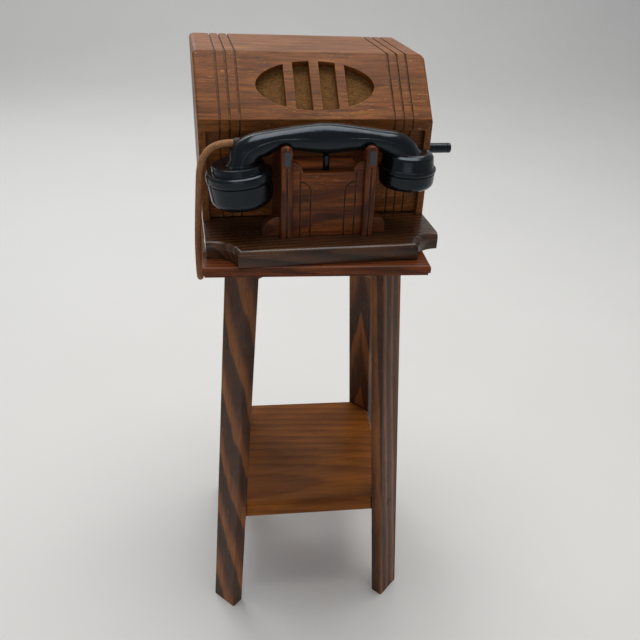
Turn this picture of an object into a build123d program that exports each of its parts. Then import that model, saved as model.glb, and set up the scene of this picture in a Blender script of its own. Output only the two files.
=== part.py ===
from build123d import *
import math
import os

# A wooden hand-generator telephone standing on a four-legged wooden telephone stand.
# Millimetres, +Z up, front towards -Y. The origin is on the floor, at the middle of the
# object's outer box (the handset cord left out).
#
# Two local frames are used. The stand's has its origin on the floor under the middle of its
# top. The telephone's has its origin on the stand's top, at the middle of the cabinet's front.

# ---------------------------------------------------------------- driving dimensions
STAND_X, STAND_Y = -16.6, -3.9
STAND_TURN = -4.8           # the stand is turned a little under the telephone
PHONE_X, PHONE_Y = STAND_X + 2.8, STAND_Y - 25.9

# stand
TOP_SIZE, TOP_THICK = 228.0, 11.0
TOP_STEP = 3.2              # the small step of the moulding under the rounded edge
LEG_HEIGHT = 480.2
LEG_WIDTH, LEG_THICK = 35.2, 15.7
LEG_TOP, LEG_BOTTOM = 75.2, 106.1     # each leg's centre line from the middle, along X and Y
SHELF_SIZE, SHELF_THICK, SHELF_TOP = 205.0, 18.6, 162.0
SHELF_EASE = 1.2            # bevel on the shelf's top arris beside each leg
BLOCK_WIDTH, BLOCK_DEPTH, BLOCK_HEIGHT = 20.0, 13.0, 22.0
BLOCK_SCREW_ASIDE = 5.6      # keeps the top's screws clear of the legs' screws
STAND_HEIGHT = LEG_HEIGHT + TOP_THICK

# cabinet
WIDTH = 240.0
BACK_Y = 156.4
BOARD = 7.8                 # slope board and top board
SIDE_THICK = 7.0
SLOPE_LOW, SLOPE_HIGH, SLOPE_DEPTH = 120.6, 175.3, 50.4
TRAY_THICK, TRAY_FRONT = 16.8, -81.2
COVE_X, COVE_Y = 29.3, 25.4           # the tray's coved front corners
PANEL_Y, PANEL_THICK, PANEL_GAP = 8.0, 7.0, 0.9
BACK_THICK = 8.0
GLUE_BLOCK_Y, GLUE_BLOCK_WIDTH = (16.0, 112.0), 11.0
SLOPE_ARRIS = 2.5           # rounded side edges of the slope board
CORNER_LEFT, CORNER_RIGHT = 5.0, 7.8  # the cabinet's upper corners, seen from the front
NOSE_ROUND = 6.0            # the tray's rounded front edge
KERF, SLOPE_KERF, KERF_DEPTH = 1.8, 2.6, 1.6
KERF_OFFSETS = (21.6, 31.4, 41.2)     # from each side of the cabinet
GRILLE_A, GRILLE_B, GRILLE_UP = 60.9, 27.3, 36.8
BAR_WIDTH, BAR_PITCH = 9.6, 26.8
CLOTH_THICK, CLOTH_FRAME = 0.8, 3.0

# cradle and hook switch
CRADLE_X = 1.4
EAR_X, EAR_THICK = 41.5, 11.5
EAR_FRONT, EAR_TOP = -54.5, 108.8
CRADLE_PANEL_Y, CRADLE_PANEL_THICK, CRADLE_PANEL_TOP = -49.0, 7.0, 81.8
PANEL_GROOVE_OUT, PANEL_GROOVE_IN, PANEL_GROOVE_TURN = 8.0, 18.5, 63.0
EAR_GROOVE, EAR_GROOVE_DEPTH = 2.2, 1.6
INLAY_LOW, INLAY_HIGH, INLAY_WIDTH, INLAY_ASIDE = 90.6, 103.8, 6.0, 0.5
SADDLE_Y, SADDLE_Z = 13.8, 11.2       # half width of the saddle, and its depth below the grip's middle
GRIP_MIDDLE_Z = 111.3                 # middle of the handset's grip over the ears
SHOULDER = 10.5
BRACKET_THICK, BRACKET_Y = 13.0, -46.0
BRACKETS = {-1: (17.5, 20.0, 16.5), 1: (15.0, 17.0, 10.0)}    # width, height, corner radius
PLATE_TOP, PLATE_THICK = 80.5, 7.5
PLUNGER_R, PLUNGER_TOP, PLUNGER_LIFT = 3.3, 96.2, 6.0
COLLAR_R, COLLAR_THICK = 6.0, 3.0

# handset
HANDSET_Y = -34.3
TRANSMITTER = Pos(-83.3, HANDSET_Y, 72.2) * Rot(0, -6, 0)     # each cup's axis and its cap's seam
RECEIVER = Pos(85.3, HANDSET_Y, 78.7)
# Profile of each cup above the seam: radius, height.
TRANSMITTER_CUP = ((23.4, 16.7), (24.9, 16.3), (25.6, 15.2), (26.2, 10.4), (30.2, 10.2), (31.7, 9.2),
                   (32.4, 7.4), (32.4, 2.6), (32.0, 1.0), (31.2, 0.3))
RECEIVER_CUP = ((19.0, 19.7), (22.0, 18.9), (24.6, 17.2), (25.8, 15.2), (26.2, 12.0), (27.2, 5.2),
                (28.6, 4.9), (29.3, 3.8), (29.4, 2.4), (29.1, 1.0), (28.5, 0.3))
# Spigot radius, spigot length and the chamber's height above the seam.
TRANSMITTER_SPIGOT = (27.4, 8.0, 10.0)
RECEIVER_SPIGOT = (24.4, 7.0, 8.0)
SPIGOT_WALL = 3.0
# Each cap: radius at its rim, radius at its foot, depth and rounding.
TRANSMITTER_CAP = (31.4, 30.2, 24.5, 9.5)
RECEIVER_CAP = (28.6, 27.8, 15.7, 7.0)
CAP_WALL = 4.0
TRANSMITTER_HOLES = ((0, 1), (7, 6), (13.5, 12), (19, 16))    # radius of each ring and its holes
RECEIVER_HOLES = ((0, 1), (6, 6))
HOLE_R = 1.3
CAPSULE_HEIGHT = 15.6
# Sections of the handle: x, middle z, tilt in degrees, half height, half depth.
GRIP = (
    (-84.6, 84.0, 82, 17.5, 18.0), (-78.5, 94.5, 76, 14.6, 16.2), (-69.0, 104.0, 56, 14.8, 15.2),
    (-59.5, 107.6, 34, 12.0, 14.2), (-50.0, 110.2, 14, 10.0, 13.2), (-41.0, 111.3, 4, 10.3, 12.8),
    (-30.5, 111.5, 1, 11.6, 13.2), (-20.0, 111.6, 0, 13.0, 13.6), (-9.5, 111.5, 0, 14.2, 13.9),
    (1.0, 111.4, 0, 14.8, 14.0), (11.5, 111.5, 0, 14.2, 13.9), (22.0, 111.6, 0, 13.0, 13.6),
    (32.5, 111.5, -1, 11.6, 13.2), (43.0, 111.3, -4, 10.3, 12.8), (53.0, 109.8, -16, 10.3, 13.0),
    (62.5, 107.6, -32, 12.4, 13.8), (71.0, 104.6, -51, 14.6, 14.8), (77.6, 99.6, -65, 15.4, 16.0),
    (83.6, 92.0, -76, 19.0, 18.6),
)
GROMMET_R, GROMMET_NOSE_R, GROMMET_NOSE, GROMMET_END = 4.6, 3.7, 3.5, -76.0

# cord
CORD_DIAMETER = 6.6
CORD_ROUTE = (
    (-88.5, -31.0, 107.0), (-99.5, -31.0, 107.0), (-113.0, -31.0, 100.5), (-120.8, -31.2, 86.0),
    (-122.6, -31.6, 66.0), (-125.0, -32.2, 36.0), (-127.0, -31.6, 5.0), (-127.3, -29.0, -27.0),
    (-126.3, -10.0, -45.5), (-124.0, 24.0, -48.0), (-122.0, 70.0, -44.5), (-120.5, 114.0, -38.0),
    (-118.5, 154.0, -26.0), (-111.5, 182.0, -7.0), (-101.0, 194.0, 14.0), (-91.0, 193.5, 33.0),
    (-85.5, 181.0, 45.0), (-85.5, 165.0, 45.0),
)

# hand generator
CRANK_Y, CRANK_Z, CRANK_THROW = 48.0, 120.5, 44.3
SHAFT_R = 4.0
GEAR_TEETH, PINION_TEETH, GEAR_MODULE = 42, 14, 1.0
GEAR_CENTRES = 28.2
GEAR_X, GEAR_THICK = 103.0, 5.0
MAGNETO_IN, MAGNETO_OUT = 68.0, 99.0  # inner faces of the two end plates
MAGNETO_PLATE = 2.5
MAGNET_GAP, MAGNET_THICK = 16.0, 5.0
ARMATURE_R = 10.6
KNOB_IN, KNOB_OUT, KNOB_R = 129.6, 161.7, 5.5
KNOB_BEVEL, KNOB_GROOVE = 0.8, 4.5      # end bevel; the fine groove's distance from the end
BUSH_R, PIN_R = 6.4, 2.5
TIE_RODS = ((24.5, 40.0), (71.5, 40.0), (24.5, 112.0), (71.5, 112.0))

# ringer
GONG_R, GONG_Z, GONG_GAP, GONG_MID = 28.0, 124.0, 14.0, -43.0
GONG_RIM_Y = 98.0
ROCKER_Z = 71.0
RINGER_Y = 122.0

CLEARANCE = 0.05
PHONE = Pos(PHONE_X, PHONE_Y, STAND_HEIGHT)
STAND = Pos(STAND_X, STAND_Y, 0) * Rot(0, 0, STAND_TURN)
ALONG_X = Rot(0, 90, 0)
ALONG_Y = Rot(-90, 0, 0)
LOW = (Align.CENTER, Align.CENTER, Align.MIN)


# ---------------------------------------------------------------- shared helpers
def save(name, place, *solids):
    """Write one node: its solids, moved from their local frame to the object's."""
    solids_moved = [place * solid for piece in solids for solid in piece.solids()]
    export_step(Compound(label=name, children=solids_moved), f"parts/{name}.step")


def block(x0, x1, y0, y1, z0, z1):
    """A box between two corners."""
    return Pos((x0 + x1) / 2, (y0 + y1) / 2, (z0 + z1) / 2) * Box(x1 - x0, y1 - y0, z1 - z0)


def rod(radius, start, end, hole=0.0):
    """A round bar, or a tube, from one point to another."""
    line = Vector(*end) - Vector(*start)
    plane = Plane(origin=start, z_dir=line)
    bar = plane * Cylinder(radius, line.length, align=LOW)
    if hole:
        bar = bar - plane * Cylinder(hole, line.length, align=LOW)
    return bar


def side_slab(outline, x0, x1):
    """A board cut to an outline in the YZ plane, from x0 to x1."""
    face = make_face(Polyline(*[(y, z) for y, z in outline], close=True))
    return extrude(Plane(origin=(x0, 0, 0), x_dir=(0, 1, 0), z_dir=(1, 0, 0)) * face, x1 - x0)


def turned(profile, place):
    """A solid of revolution about local Z from (radius, height) points."""
    face = make_face(Plane.XZ * Polyline(*profile, close=True))
    return place * revolve(face, Axis.Z, 360)


def involute_gear(teeth, thick, first_tooth, bore, backlash=0.22):
    """A spur gear about local Z; first_tooth is the angle of one tooth's middle in degrees."""
    pressure = math.radians(20)
    pitch_r = GEAR_MODULE * teeth / 2
    base_r = pitch_r * math.cos(pressure)
    tip_r, root_r = pitch_r + 0.8 * GEAR_MODULE, pitch_r - 1.15 * GEAR_MODULE

    def half_angle(radius):
        slope = math.acos(min(1.0, base_r / radius))
        spread = math.tan(slope) - slope
        pitch_spread = math.tan(pressure) - pressure
        return math.pi / (2 * teeth) - backlash / (2 * pitch_r) + pitch_spread - spread

    flank = [root_r] + [base_r + (tip_r - base_r) * step / 3 for step in range(4)]
    flank = sorted(radius for radius in flank if radius >= root_r)
    points = []
    for tooth in range(teeth):
        middle = math.radians(first_tooth) + 2 * math.pi * tooth / teeth
        sides = [(radius, middle - half_angle(radius)) for radius in flank]
        sides += [(radius, middle + half_angle(radius)) for radius in reversed(flank)]
        points += [(radius * math.cos(angle), radius * math.sin(angle)) for radius, angle in sides]
    return extrude(make_face(Polyline(*points, close=True)) - Circle(bore), thick)


# ---------------------------------------------------------------- stand
def leg_plane(number):
    """The leg's frame: X across its wide face, Y outward, Z up along the leg."""
    across = Vector(1, -1, 0).normalized()
    up = Vector(LEG_TOP - LEG_BOTTOM, LEG_TOP - LEG_BOTTOM, LEG_HEIGHT).normalized()
    plane = Plane(origin=(LEG_BOTTOM, LEG_BOTTOM, 0), x_dir=across, z_dir=up)
    return Rot(0, 0, 90 * number) * plane.location


def leg_length_at(height):
    """Distance along a leg's centre line to a height above the floor."""
    run = math.sqrt(2) * (LEG_BOTTOM - LEG_TOP)
    return height * math.hypot(run, LEG_HEIGHT) / LEG_HEIGHT


SHELF_SCREW_UP = leg_length_at(SHELF_TOP - SHELF_THICK / 2)
BLOCK_SCREW_UP = leg_length_at(LEG_HEIGHT - BLOCK_HEIGHT / 2)
PLUG_R, PLUG_DEPTH, HEAD_DEPTH = 4.8, 2.6, 2.6
STAND_SCREW_R, STAND_SCREW_END = 2.2, -18.0


def leg_holes(up):
    """The counterbore for a head and a plug, and the shank's hole, through one leg."""
    outer = LEG_THICK / 2
    bore = rod(PLUG_R + CLEARANCE, (0, outer - PLUG_DEPTH - HEAD_DEPTH, up), (0, outer + 1, up))
    shank = rod(STAND_SCREW_R + CLEARANCE, (0, STAND_SCREW_END - 0.5, up), (0, outer, up))
    return bore + shank


def stand_leg(number):
    blank = Box(LEG_WIDTH, LEG_THICK, LEG_HEIGHT + 60, align=LOW)
    blank = fillet(blank.edges().filter_by(Axis.Z), 1.6)
    blank = Pos(0, 0, -20) * blank - leg_holes(SHELF_SCREW_UP) - leg_holes(BLOCK_SCREW_UP)
    return leg_plane(number) * blank & block(-200, 200, -200, 200, 0, LEG_HEIGHT)


def leg_room(number):
    """Everything outside the inner face of a leg."""
    return leg_plane(number) * block(-80, 80, -LEG_THICK / 2, 80, -20, LEG_HEIGHT + 20)


def stand_shelf():
    shelf = Pos(0, 0, SHELF_TOP - SHELF_THICK) * Box(SHELF_SIZE, SHELF_SIZE, SHELF_THICK, align=LOW)
    shelf = fillet(shelf.faces().sort_by(Axis.Z)[-1].edges(), 5.0)
    for number in range(4):
        shelf = shelf - leg_room(number) - leg_plane(number) * leg_holes(SHELF_SCREW_UP)
    top_edges = shelf.faces().filter_by(Axis.Z).sort_by(Axis.Z)[-1].edges()
    corner_edges = top_edges.sort_by(SortBy.LENGTH)[:4]
    return chamfer(corner_edges, SHELF_EASE)


def stand_top():
    half = TOP_SIZE / 2
    upper = block(-half, half, -half, half, LEG_HEIGHT + TOP_STEP, STAND_HEIGHT)
    upper = fillet(upper.edges().filter_by(Axis.Z), 2.0)
    upper = fillet(upper.faces().sort_by(Axis.Z)[-1].edges(), 3.6)
    lower_half = half - 2.2
    lower = block(-lower_half, lower_half, -lower_half, lower_half, LEG_HEIGHT, LEG_HEIGHT + TOP_STEP)
    return upper + lower - block_screw_shapes(CLEARANCE)


LEG_FACE = math.sqrt(2) * LEG_TOP - LEG_THICK / 2     # inner face of a leg, on the diagonal


def corner_block(number):
    """A block inside the top of a leg; the leg's screw and the top's screw go into it."""
    half = BLOCK_WIDTH / 2
    body = Rot(0, 0, 45 + 90 * number) * block(
        LEG_FACE - BLOCK_DEPTH, LEG_FACE + BLOCK_DEPTH, -half, half, LEG_HEIGHT - BLOCK_HEIGHT, LEG_HEIGHT)
    body = body - leg_room(number) - leg_plane(number) * leg_holes(BLOCK_SCREW_UP)
    return body - block_screw_shapes(CLEARANCE)


def block_screw_shapes(extra=0.0):
    """Four countersunk screws up through the corner blocks into the top."""
    low = LEG_HEIGHT - BLOCK_HEIGHT
    x, y = LEG_FACE - BLOCK_DEPTH / 2, BLOCK_SCREW_ASIDE
    shank = rod(1.7 + extra, (x, y, low), (x, y, LEG_HEIGHT + 7))
    head = rod(3.2 + extra, (x, y, low), (x, y, low + 2.2))
    screws = [Rot(0, 0, 45 + 90 * number) * (shank + head) for number in range(4)]
    return Compound(children=[solid for screw in screws for solid in screw.solids()])


def leg_screw(number, up):
    outer = LEG_THICK / 2
    head = rod(PLUG_R - 0.6, (0, outer - PLUG_DEPTH - HEAD_DEPTH, up), (0, outer - PLUG_DEPTH, up))
    shank = rod(STAND_SCREW_R, (0, STAND_SCREW_END, up), (0, outer - PLUG_DEPTH - HEAD_DEPTH, up))
    return leg_plane(number) * (head + shank)


def leg_plug(number, up):
    outer = LEG_THICK / 2
    return leg_plane(number) * rod(PLUG_R, (0, outer - PLUG_DEPTH, up), (0, outer + 0.3, up))


# ---------------------------------------------------------------- cabinet
SLOPE_ANGLE = math.atan2(SLOPE_HIGH - SLOPE_LOW, SLOPE_DEPTH)
SLOPE_LENGTH = math.hypot(SLOPE_HIGH - SLOPE_LOW, SLOPE_DEPTH)
SLOPE_UNDER = SLOPE_LOW - BOARD / math.cos(SLOPE_ANGLE)   # underside of the slope board at Y 0
TOP_UNDER = SLOPE_HIGH - BOARD
MITRE_Y = (TOP_UNDER - SLOPE_UNDER) / math.tan(SLOPE_ANGLE)
HALF = WIDTH / 2
INNER = HALF - SIDE_THICK


def slope_plane(up, depth=0.0):
    """A plane on the slope: X to the right, Y up the slope, Z outward; depth goes inward."""
    outward = Vector(0, -math.sin(SLOPE_ANGLE), math.cos(SLOPE_ANGLE))
    point = Vector(0, up * math.cos(SLOPE_ANGLE), SLOPE_LOW + up * math.sin(SLOPE_ANGLE))
    return Plane(origin=point - outward * depth, x_dir=(1, 0, 0), z_dir=outward)


def under_slope(y):
    return SLOPE_UNDER + y * math.tan(SLOPE_ANGLE)


def kerf_positions():
    return [side * (HALF - offset) for side in (-1, 1) for offset in KERF_OFFSETS]


def kerfs(width):
    """Saw cuts over the top, down the slope and over its lower edge."""
    outline = [(0, SLOPE_UNDER - 20), (0, SLOPE_LOW), (SLOPE_DEPTH, SLOPE_HIGH),
               (BACK_Y + 20, SLOPE_HIGH), (BACK_Y + 20, SLOPE_UNDER - 20)]
    face = make_face(Polyline(*outline, close=True))
    band = face - offset(face, -KERF_DEPTH)
    cuts = []
    for x in kerf_positions():
        plane = Plane(origin=(x - width / 2, 0, 0), x_dir=(0, 1, 0), z_dir=(1, 0, 0))
        cuts += (extrude(plane * band, width)).solids()
    return cuts


def upper_corners():
    """What the rounding of the cabinet's two upper corners takes away."""
    waste = []
    for side, radius in ((-1, CORNER_LEFT), (1, CORNER_RIGHT)):
        x, z = side * (HALF - radius), SLOPE_HIGH - radius
        corner = block(*sorted((x, side * (HALF + 1))), -1, BACK_Y + 1, z, SLOPE_HIGH + 1)
        waste.append(corner - rod(radius, (x, -2, z), (x, BACK_Y + 2, z)))
    return waste


def top_board():
    board = side_slab([(SLOPE_DEPTH, SLOPE_HIGH), (BACK_Y, SLOPE_HIGH), (BACK_Y, TOP_UNDER),
                       (MITRE_Y, TOP_UNDER)], -HALF, HALF)
    return board - upper_corners() - kerfs(KERF)


def slope_board():
    board = side_slab([(0, SLOPE_UNDER), (0, SLOPE_LOW), (SLOPE_DEPTH, SLOPE_HIGH),
                       (MITRE_Y, TOP_UNDER)], -HALF, HALF)
    middle_z = (SLOPE_LOW + SLOPE_HIGH) / 2
    edges = [edge for edge in board.edges()
             if abs(abs(edge.center().X) - HALF) < 0.01 and edge.length > SLOPE_LENGTH - 1
             and abs(edge.center().Z - middle_z) < 1]
    board = fillet(edges, SLOPE_ARRIS) - upper_corners() - kerfs(SLOPE_KERF)
    plane = slope_plane(GRILLE_UP, BOARD + 2)
    opening = Ellipse(GRILLE_A, GRILLE_B)
    for bar in (-1, 0, 1):
        opening = opening - Pos(bar * BAR_PITCH, 0) * Rectangle(BAR_WIDTH, 3 * GRILLE_B)
    return board - extrude(plane * opening, BOARD + 6)


def side_board(side):
    outline = [(0, TRAY_THICK), (0, SLOPE_UNDER), (MITRE_Y, TOP_UNDER), (BACK_Y, TOP_UNDER),
               (BACK_Y, TRAY_THICK)]
    x0, x1 = sorted((side * INNER, side * HALF))
    board = side_slab(outline, x0, x1)
    if side > 0:
        board = board - rod(BUSH_R + CLEARANCE, (INNER - 1, CRANK_Y, CRANK_Z), (HALF + 1, CRANK_Y, CRANK_Z))
    return board


def lower_panel():
    back = PANEL_Y + PANEL_THICK
    low = TRAY_THICK + PANEL_GAP
    outline = [(PANEL_Y, low), (PANEL_Y, under_slope(PANEL_Y)), (back, under_slope(back)), (back, low)]
    panel = side_slab(outline, -INNER, INNER)
    for x in kerf_positions():
        panel = panel - block(x - KERF / 2, x + KERF / 2, PANEL_Y - 1, PANEL_Y + KERF_DEPTH, 0, SLOPE_HIGH)
    cloth_room = extrude(slope_plane(GRILLE_UP, BOARD + 8) * Rectangle(136, 70), 8)
    return panel - cloth_room


def back_panel():
    panel = block(-INNER, INNER, BACK_Y - BACK_THICK, BACK_Y, TRAY_THICK, TOP_UNDER)
    bushing_x, _, bushing_z = CORD_ROUTE[-1]
    panel = panel - rod(6.0 + CLEARANCE, (bushing_x, 100, bushing_z), (bushing_x, 200, bushing_z))
    return panel - back_screw_shapes(CLEARANCE)


def tray_board():
    front, back = TRAY_FRONT, BACK_Y
    cove_y = front + COVE_Y
    inner = HALF - COVE_X
    diagonal = math.sqrt(0.5)
    bend_x, bend_y = HALF - COVE_X * diagonal, front + COVE_Y * diagonal
    outline = [
        Line((-inner, front), (inner, front)),
        ThreePointArc((inner, front), (bend_x, bend_y), (HALF, cove_y)),
        Line((HALF, cove_y), (HALF, back)),
        Line((HALF, back), (-HALF, back)),
        Line((-HALF, back), (-HALF, cove_y)),
        ThreePointArc((-HALF, cove_y), (-bend_x, bend_y), (-inner, front)),
    ]
    tray = extrude(make_face(outline), TRAY_THICK)
    nose = [edge for edge in tray.edges()
            if edge.center().Y < cove_y + 0.5 and abs(edge.center().Z - TRAY_THICK) < 0.01]
    tray = fillet(nose, NOSE_ROUND)
    return tray - cabinet_screw_shapes(CLEARANCE)


def glue_blocks():
    """Square blocks in the lower corners of the cabinet, glued to the tray and the sides."""
    return [block(*sorted((side * INNER, side * (INNER - GLUE_BLOCK_WIDTH))), y, y + 22,
                  TRAY_THICK, TRAY_THICK + 16) - cabinet_screw_shapes(CLEARANCE)
            for side in (-1, 1) for y in GLUE_BLOCK_Y]


def cabinet_screw_shapes(extra=0.0):
    """Countersunk screws up through the tray into the glue blocks."""
    screws = []
    for side in (-1, 1):
        for y in GLUE_BLOCK_Y:
            x = side * (INNER - GLUE_BLOCK_WIDTH / 2)
            shank = rod(1.7 + extra, (x, y + 11, 0.4), (x, y + 11, TRAY_THICK + 12))
            head = rod(3.6 + extra, (x, y + 11, 0.4 - extra), (x, y + 11, 2.6))
            screws += (shank + head).solids()
    return Compound(children=screws)


def back_cleats():
    low, high = TRAY_THICK + 20, TOP_UNDER - 6
    front = BACK_Y - BACK_THICK - 10
    cleats = [block(*sorted((side * INNER, side * (INNER - 9))), front, BACK_Y - BACK_THICK, low, high)
              for side in (-1, 1)]
    return [cleat - back_screw_shapes(CLEARANCE) for cleat in cleats]


def back_screw_shapes(extra=0.0):
    """Round-headed screws through the back panel into the cleats."""
    screws = []
    for side in (-1, 1):
        for z in (45.0, 100.0, 152.0):
            x = side * (INNER - 4.5)
            shank = rod(1.5 + extra, (x, BACK_Y - BACK_THICK - 8, z), (x, BACK_Y - 1, z))
            head = Pos(x, BACK_Y + 0.8, z) * ALONG_Y * Cone(3.2 + extra, 2.2 + extra, 1.6)
            neck = rod(1.5 + extra, (x, BACK_Y - 1, z), (x, BACK_Y, z))
            screws += (shank + neck + head).solids()
    return Compound(children=screws)


def grille_cloth():
    return extrude(slope_plane(GRILLE_UP, BOARD + CLOTH_THICK) * Rectangle(134, 66), CLOTH_THICK)


def cloth_frame():
    plane = slope_plane(GRILLE_UP, BOARD + CLOTH_THICK + CLOTH_FRAME)
    ring = Rectangle(134, 66) - Ellipse(GRILLE_A + 1.5, GRILLE_B + 1.0)
    return extrude(plane * ring, CLOTH_FRAME) - tack_holes()


def tack_shapes(extra=0.0):
    """Small tacks at the corners of the cloth's frame."""
    plane = slope_plane(GRILLE_UP, BOARD + CLOTH_THICK + CLOTH_FRAME)
    tacks = []
    for x in (-62.0, 62.0):
        for y in (-28.0, 28.0):
            shank = Pos(x, y, 0) * Cylinder(0.6 + extra, CLOTH_FRAME, align=LOW)
            head = Pos(x, y, -0.8) * Cylinder(1.8, 0.8, align=LOW)
            tacks += (plane.location * (shank + head)).solids()
    return tacks


def tack_holes():
    return Compound(children=tack_shapes(CLEARANCE))


# ---------------------------------------------------------------- cradle and hook switch
def cradle_ear(side):
    """An upright board with a domed top, and a saddle behind its front horn."""
    rear_y = HANDSET_Y + SADDLE_Y + 9
    outline = [(EAR_FRONT, TRAY_THICK), (EAR_FRONT, EAR_TOP), (rear_y, EAR_TOP), (rear_y + 4, EAR_TOP - 14),
               (PANEL_Y, 70.0), (PANEL_Y, TRAY_THICK)]
    middle, half = CRADLE_X + side * EAR_X, EAR_THICK / 2
    dome_z = EAR_TOP - half
    dome = block(middle - half, middle + half, EAR_FRONT, PANEL_Y, TRAY_THICK, dome_z) + rod(
        half, (middle, EAR_FRONT, dome_z), (middle, PANEL_Y, dome_z))
    ear = side_slab(outline, middle - half, middle + half) & dome
    front = [edge for edge in ear.faces().sort_by(Axis.Y)[0].edges() if edge.center().Z > TRAY_THICK + 1]
    ear = fillet(front, 2.0)
    saddle = Pos(middle, HANDSET_Y, GRIP_MIDDLE_Z) * ALONG_X * extrude(
        Ellipse(SADDLE_Z, SADDLE_Y), EAR_THICK, both=True)
    above = block(middle - EAR_THICK, middle + EAR_THICK, HANDSET_Y - SADDLE_Y, HANDSET_Y + SADDLE_Y,
                  GRIP_MIDDLE_Z, GRIP_MIDDLE_Z + 20)
    groove = block(middle - EAR_GROOVE / 2, middle + EAR_GROOVE / 2, EAR_FRONT - 1,
                   EAR_FRONT + EAR_GROOVE_DEPTH, 0, INLAY_LOW - 2)
    return ear - saddle - above - groove - ear_inlay(side, CLEARANCE)


def ear_inlay(side, extra=0.0):
    """The dark strip let into the front of an ear."""
    middle = CRADLE_X + side * EAR_X + INLAY_ASIDE
    half = INLAY_WIDTH / 2 + extra
    return block(middle - half, middle + half, EAR_FRONT - 0.2, EAR_FRONT + 3,
                 INLAY_LOW - extra, INLAY_HIGH + extra)


def cradle_panel():
    half = EAR_X - EAR_THICK / 2
    back = CRADLE_PANEL_Y + CRADLE_PANEL_THICK
    panel = block(-half, half, CRADLE_PANEL_Y, back, TRAY_THICK, CRADLE_PANEL_TOP)
    for side in (-1, 1):
        corner = block(*sorted((side * half, side * (half - SHOULDER))), CRADLE_PANEL_Y, back,
                       CRADLE_PANEL_TOP, CRADLE_PANEL_TOP + SHOULDER)
        round_bar = rod(SHOULDER, (side * half, CRADLE_PANEL_Y, CRADLE_PANEL_TOP),
                        (side * half, back, CRADLE_PANEL_TOP))
        panel = panel + (corner & round_bar)
    return Pos(CRADLE_X, 0, 0) * (panel - panel_grooves(half))


def panel_grooves(half):
    """On each side a long groove, and a shorter one that bends into it by a quarter circle."""
    deep = CRADLE_PANEL_Y + 1.5
    cuts = []
    for side in (-1, 1):
        outer, inner = side * (half - PANEL_GROOVE_OUT), side * (half - PANEL_GROOVE_IN)
        radius = PANEL_GROOVE_IN - PANEL_GROOVE_OUT
        for x, top in ((outer, CRADLE_PANEL_TOP + 1), (inner, PANEL_GROOVE_TURN)):
            cuts.append(block(x - KERF / 2, x + KERF / 2, CRADLE_PANEL_Y - 1, deep, 0, top))
        ring = rod(radius + KERF / 2, (outer, CRADLE_PANEL_Y - 1, PANEL_GROOVE_TURN),
                   (outer, deep, PANEL_GROOVE_TURN), hole=radius - KERF / 2)
        quarter = block(*sorted((outer, inner - side * KERF)), CRADLE_PANEL_Y - 1, deep,
                        PANEL_GROOVE_TURN, PANEL_GROOVE_TURN + radius + KERF)
        cuts.append(ring & quarter)
    return cuts


def cradle_plate():
    """The level board between the ears that the hook plunger comes up through."""
    half = EAR_X - EAR_THICK / 2
    plate = block(CRADLE_X - half, CRADLE_X + half, CRADLE_PANEL_Y + CRADLE_PANEL_THICK, PANEL_Y,
                  PLATE_TOP - PLATE_THICK, PLATE_TOP)
    return plate - rod(PLUNGER_R + 0.08, (CRADLE_X, HANDSET_Y, 0), (CRADLE_X, HANDSET_Y, 200))


def cradle_bracket(side):
    """A rounded block in the corner between an ear and the tray."""
    width, height, radius = BRACKETS[side]
    edge = CRADLE_X + side * (EAR_X + EAR_THICK / 2)
    bracket = block(*sorted((edge, edge + side * width)), BRACKET_Y, BRACKET_Y + BRACKET_THICK,
                    TRAY_THICK, TRAY_THICK + height)
    corner = [line for line in bracket.edges().filter_by(Axis.Y)
              if abs(line.center().X - edge) > 1 and line.center().Z > TRAY_THICK + 1]
    bracket = fillet(corner, radius)
    return fillet(bracket.edges().filter_by(GeomType.CIRCLE), 1.2)


COLLAR_TOP = PLATE_TOP - PLATE_THICK - PLUNGER_LIFT - 0.1
SEAT_TOP = 45.0
PLUNGER_LOW = 36.0


def hook_plunger():
    """The sprung pin that the resting handset holds down."""
    x, y = CRADLE_X, HANDSET_Y
    pin = rod(PLUNGER_R, (x, y, PLUNGER_LOW), (x, y, PLUNGER_TOP))
    pin = fillet(pin.edges().sort_by(Axis.Z)[-1], 2.2)
    return pin + rod(COLLAR_R, (x, y, COLLAR_TOP - COLLAR_THICK), (x, y, COLLAR_TOP))


def plunger_spring():
    """The coil between the switch bracket and the plunger's collar."""
    wire = 0.5
    radius = PLUNGER_R + wire + 0.5
    low, high = SEAT_TOP + wire + 0.05, COLLAR_TOP - COLLAR_THICK - wire - 0.05
    coil = Helix(pitch=(high - low) / 6, height=high - low, radius=radius)
    section = Plane(origin=coil @ 0, z_dir=coil % 0) * Circle(wire)
    return Pos(CRADLE_X, HANDSET_Y, low) * sweep(section, path=coil, is_frenet=True)


def switch_bracket():
    """A steel strap: a foot on the tray, an upright and the spring's seat."""
    x, y = CRADLE_X, HANDSET_Y
    seat = block(x - 9, x + 9, y - 6.5, y + 14, SEAT_TOP - 2, SEAT_TOP)
    upright = block(x - 9, x + 9, y + 12, y + 14, TRAY_THICK, SEAT_TOP)
    foot = block(x - 9, x + 9, y + 12, y + 30, TRAY_THICK, TRAY_THICK + 2)
    return seat + upright + foot - rod(PLUNGER_R + 0.4, (x, y, 0), (x, y, 100))


LEAF_THICK, LEAF_GAP, LEAF_TOP = 0.6, 3.4, 35.8


def contact_springs():
    """Three brass leaves stacked under the plunger's lower end."""
    y = HANDSET_Y
    levels = [LEAF_TOP - step * (LEAF_THICK + LEAF_GAP) for step in range(3)]
    return [block(CRADLE_X - 3.5, CRADLE_X + 3.5, y - 5, y + 12 - 0.01, level - LEAF_THICK, level)
            for level in levels]


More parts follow.
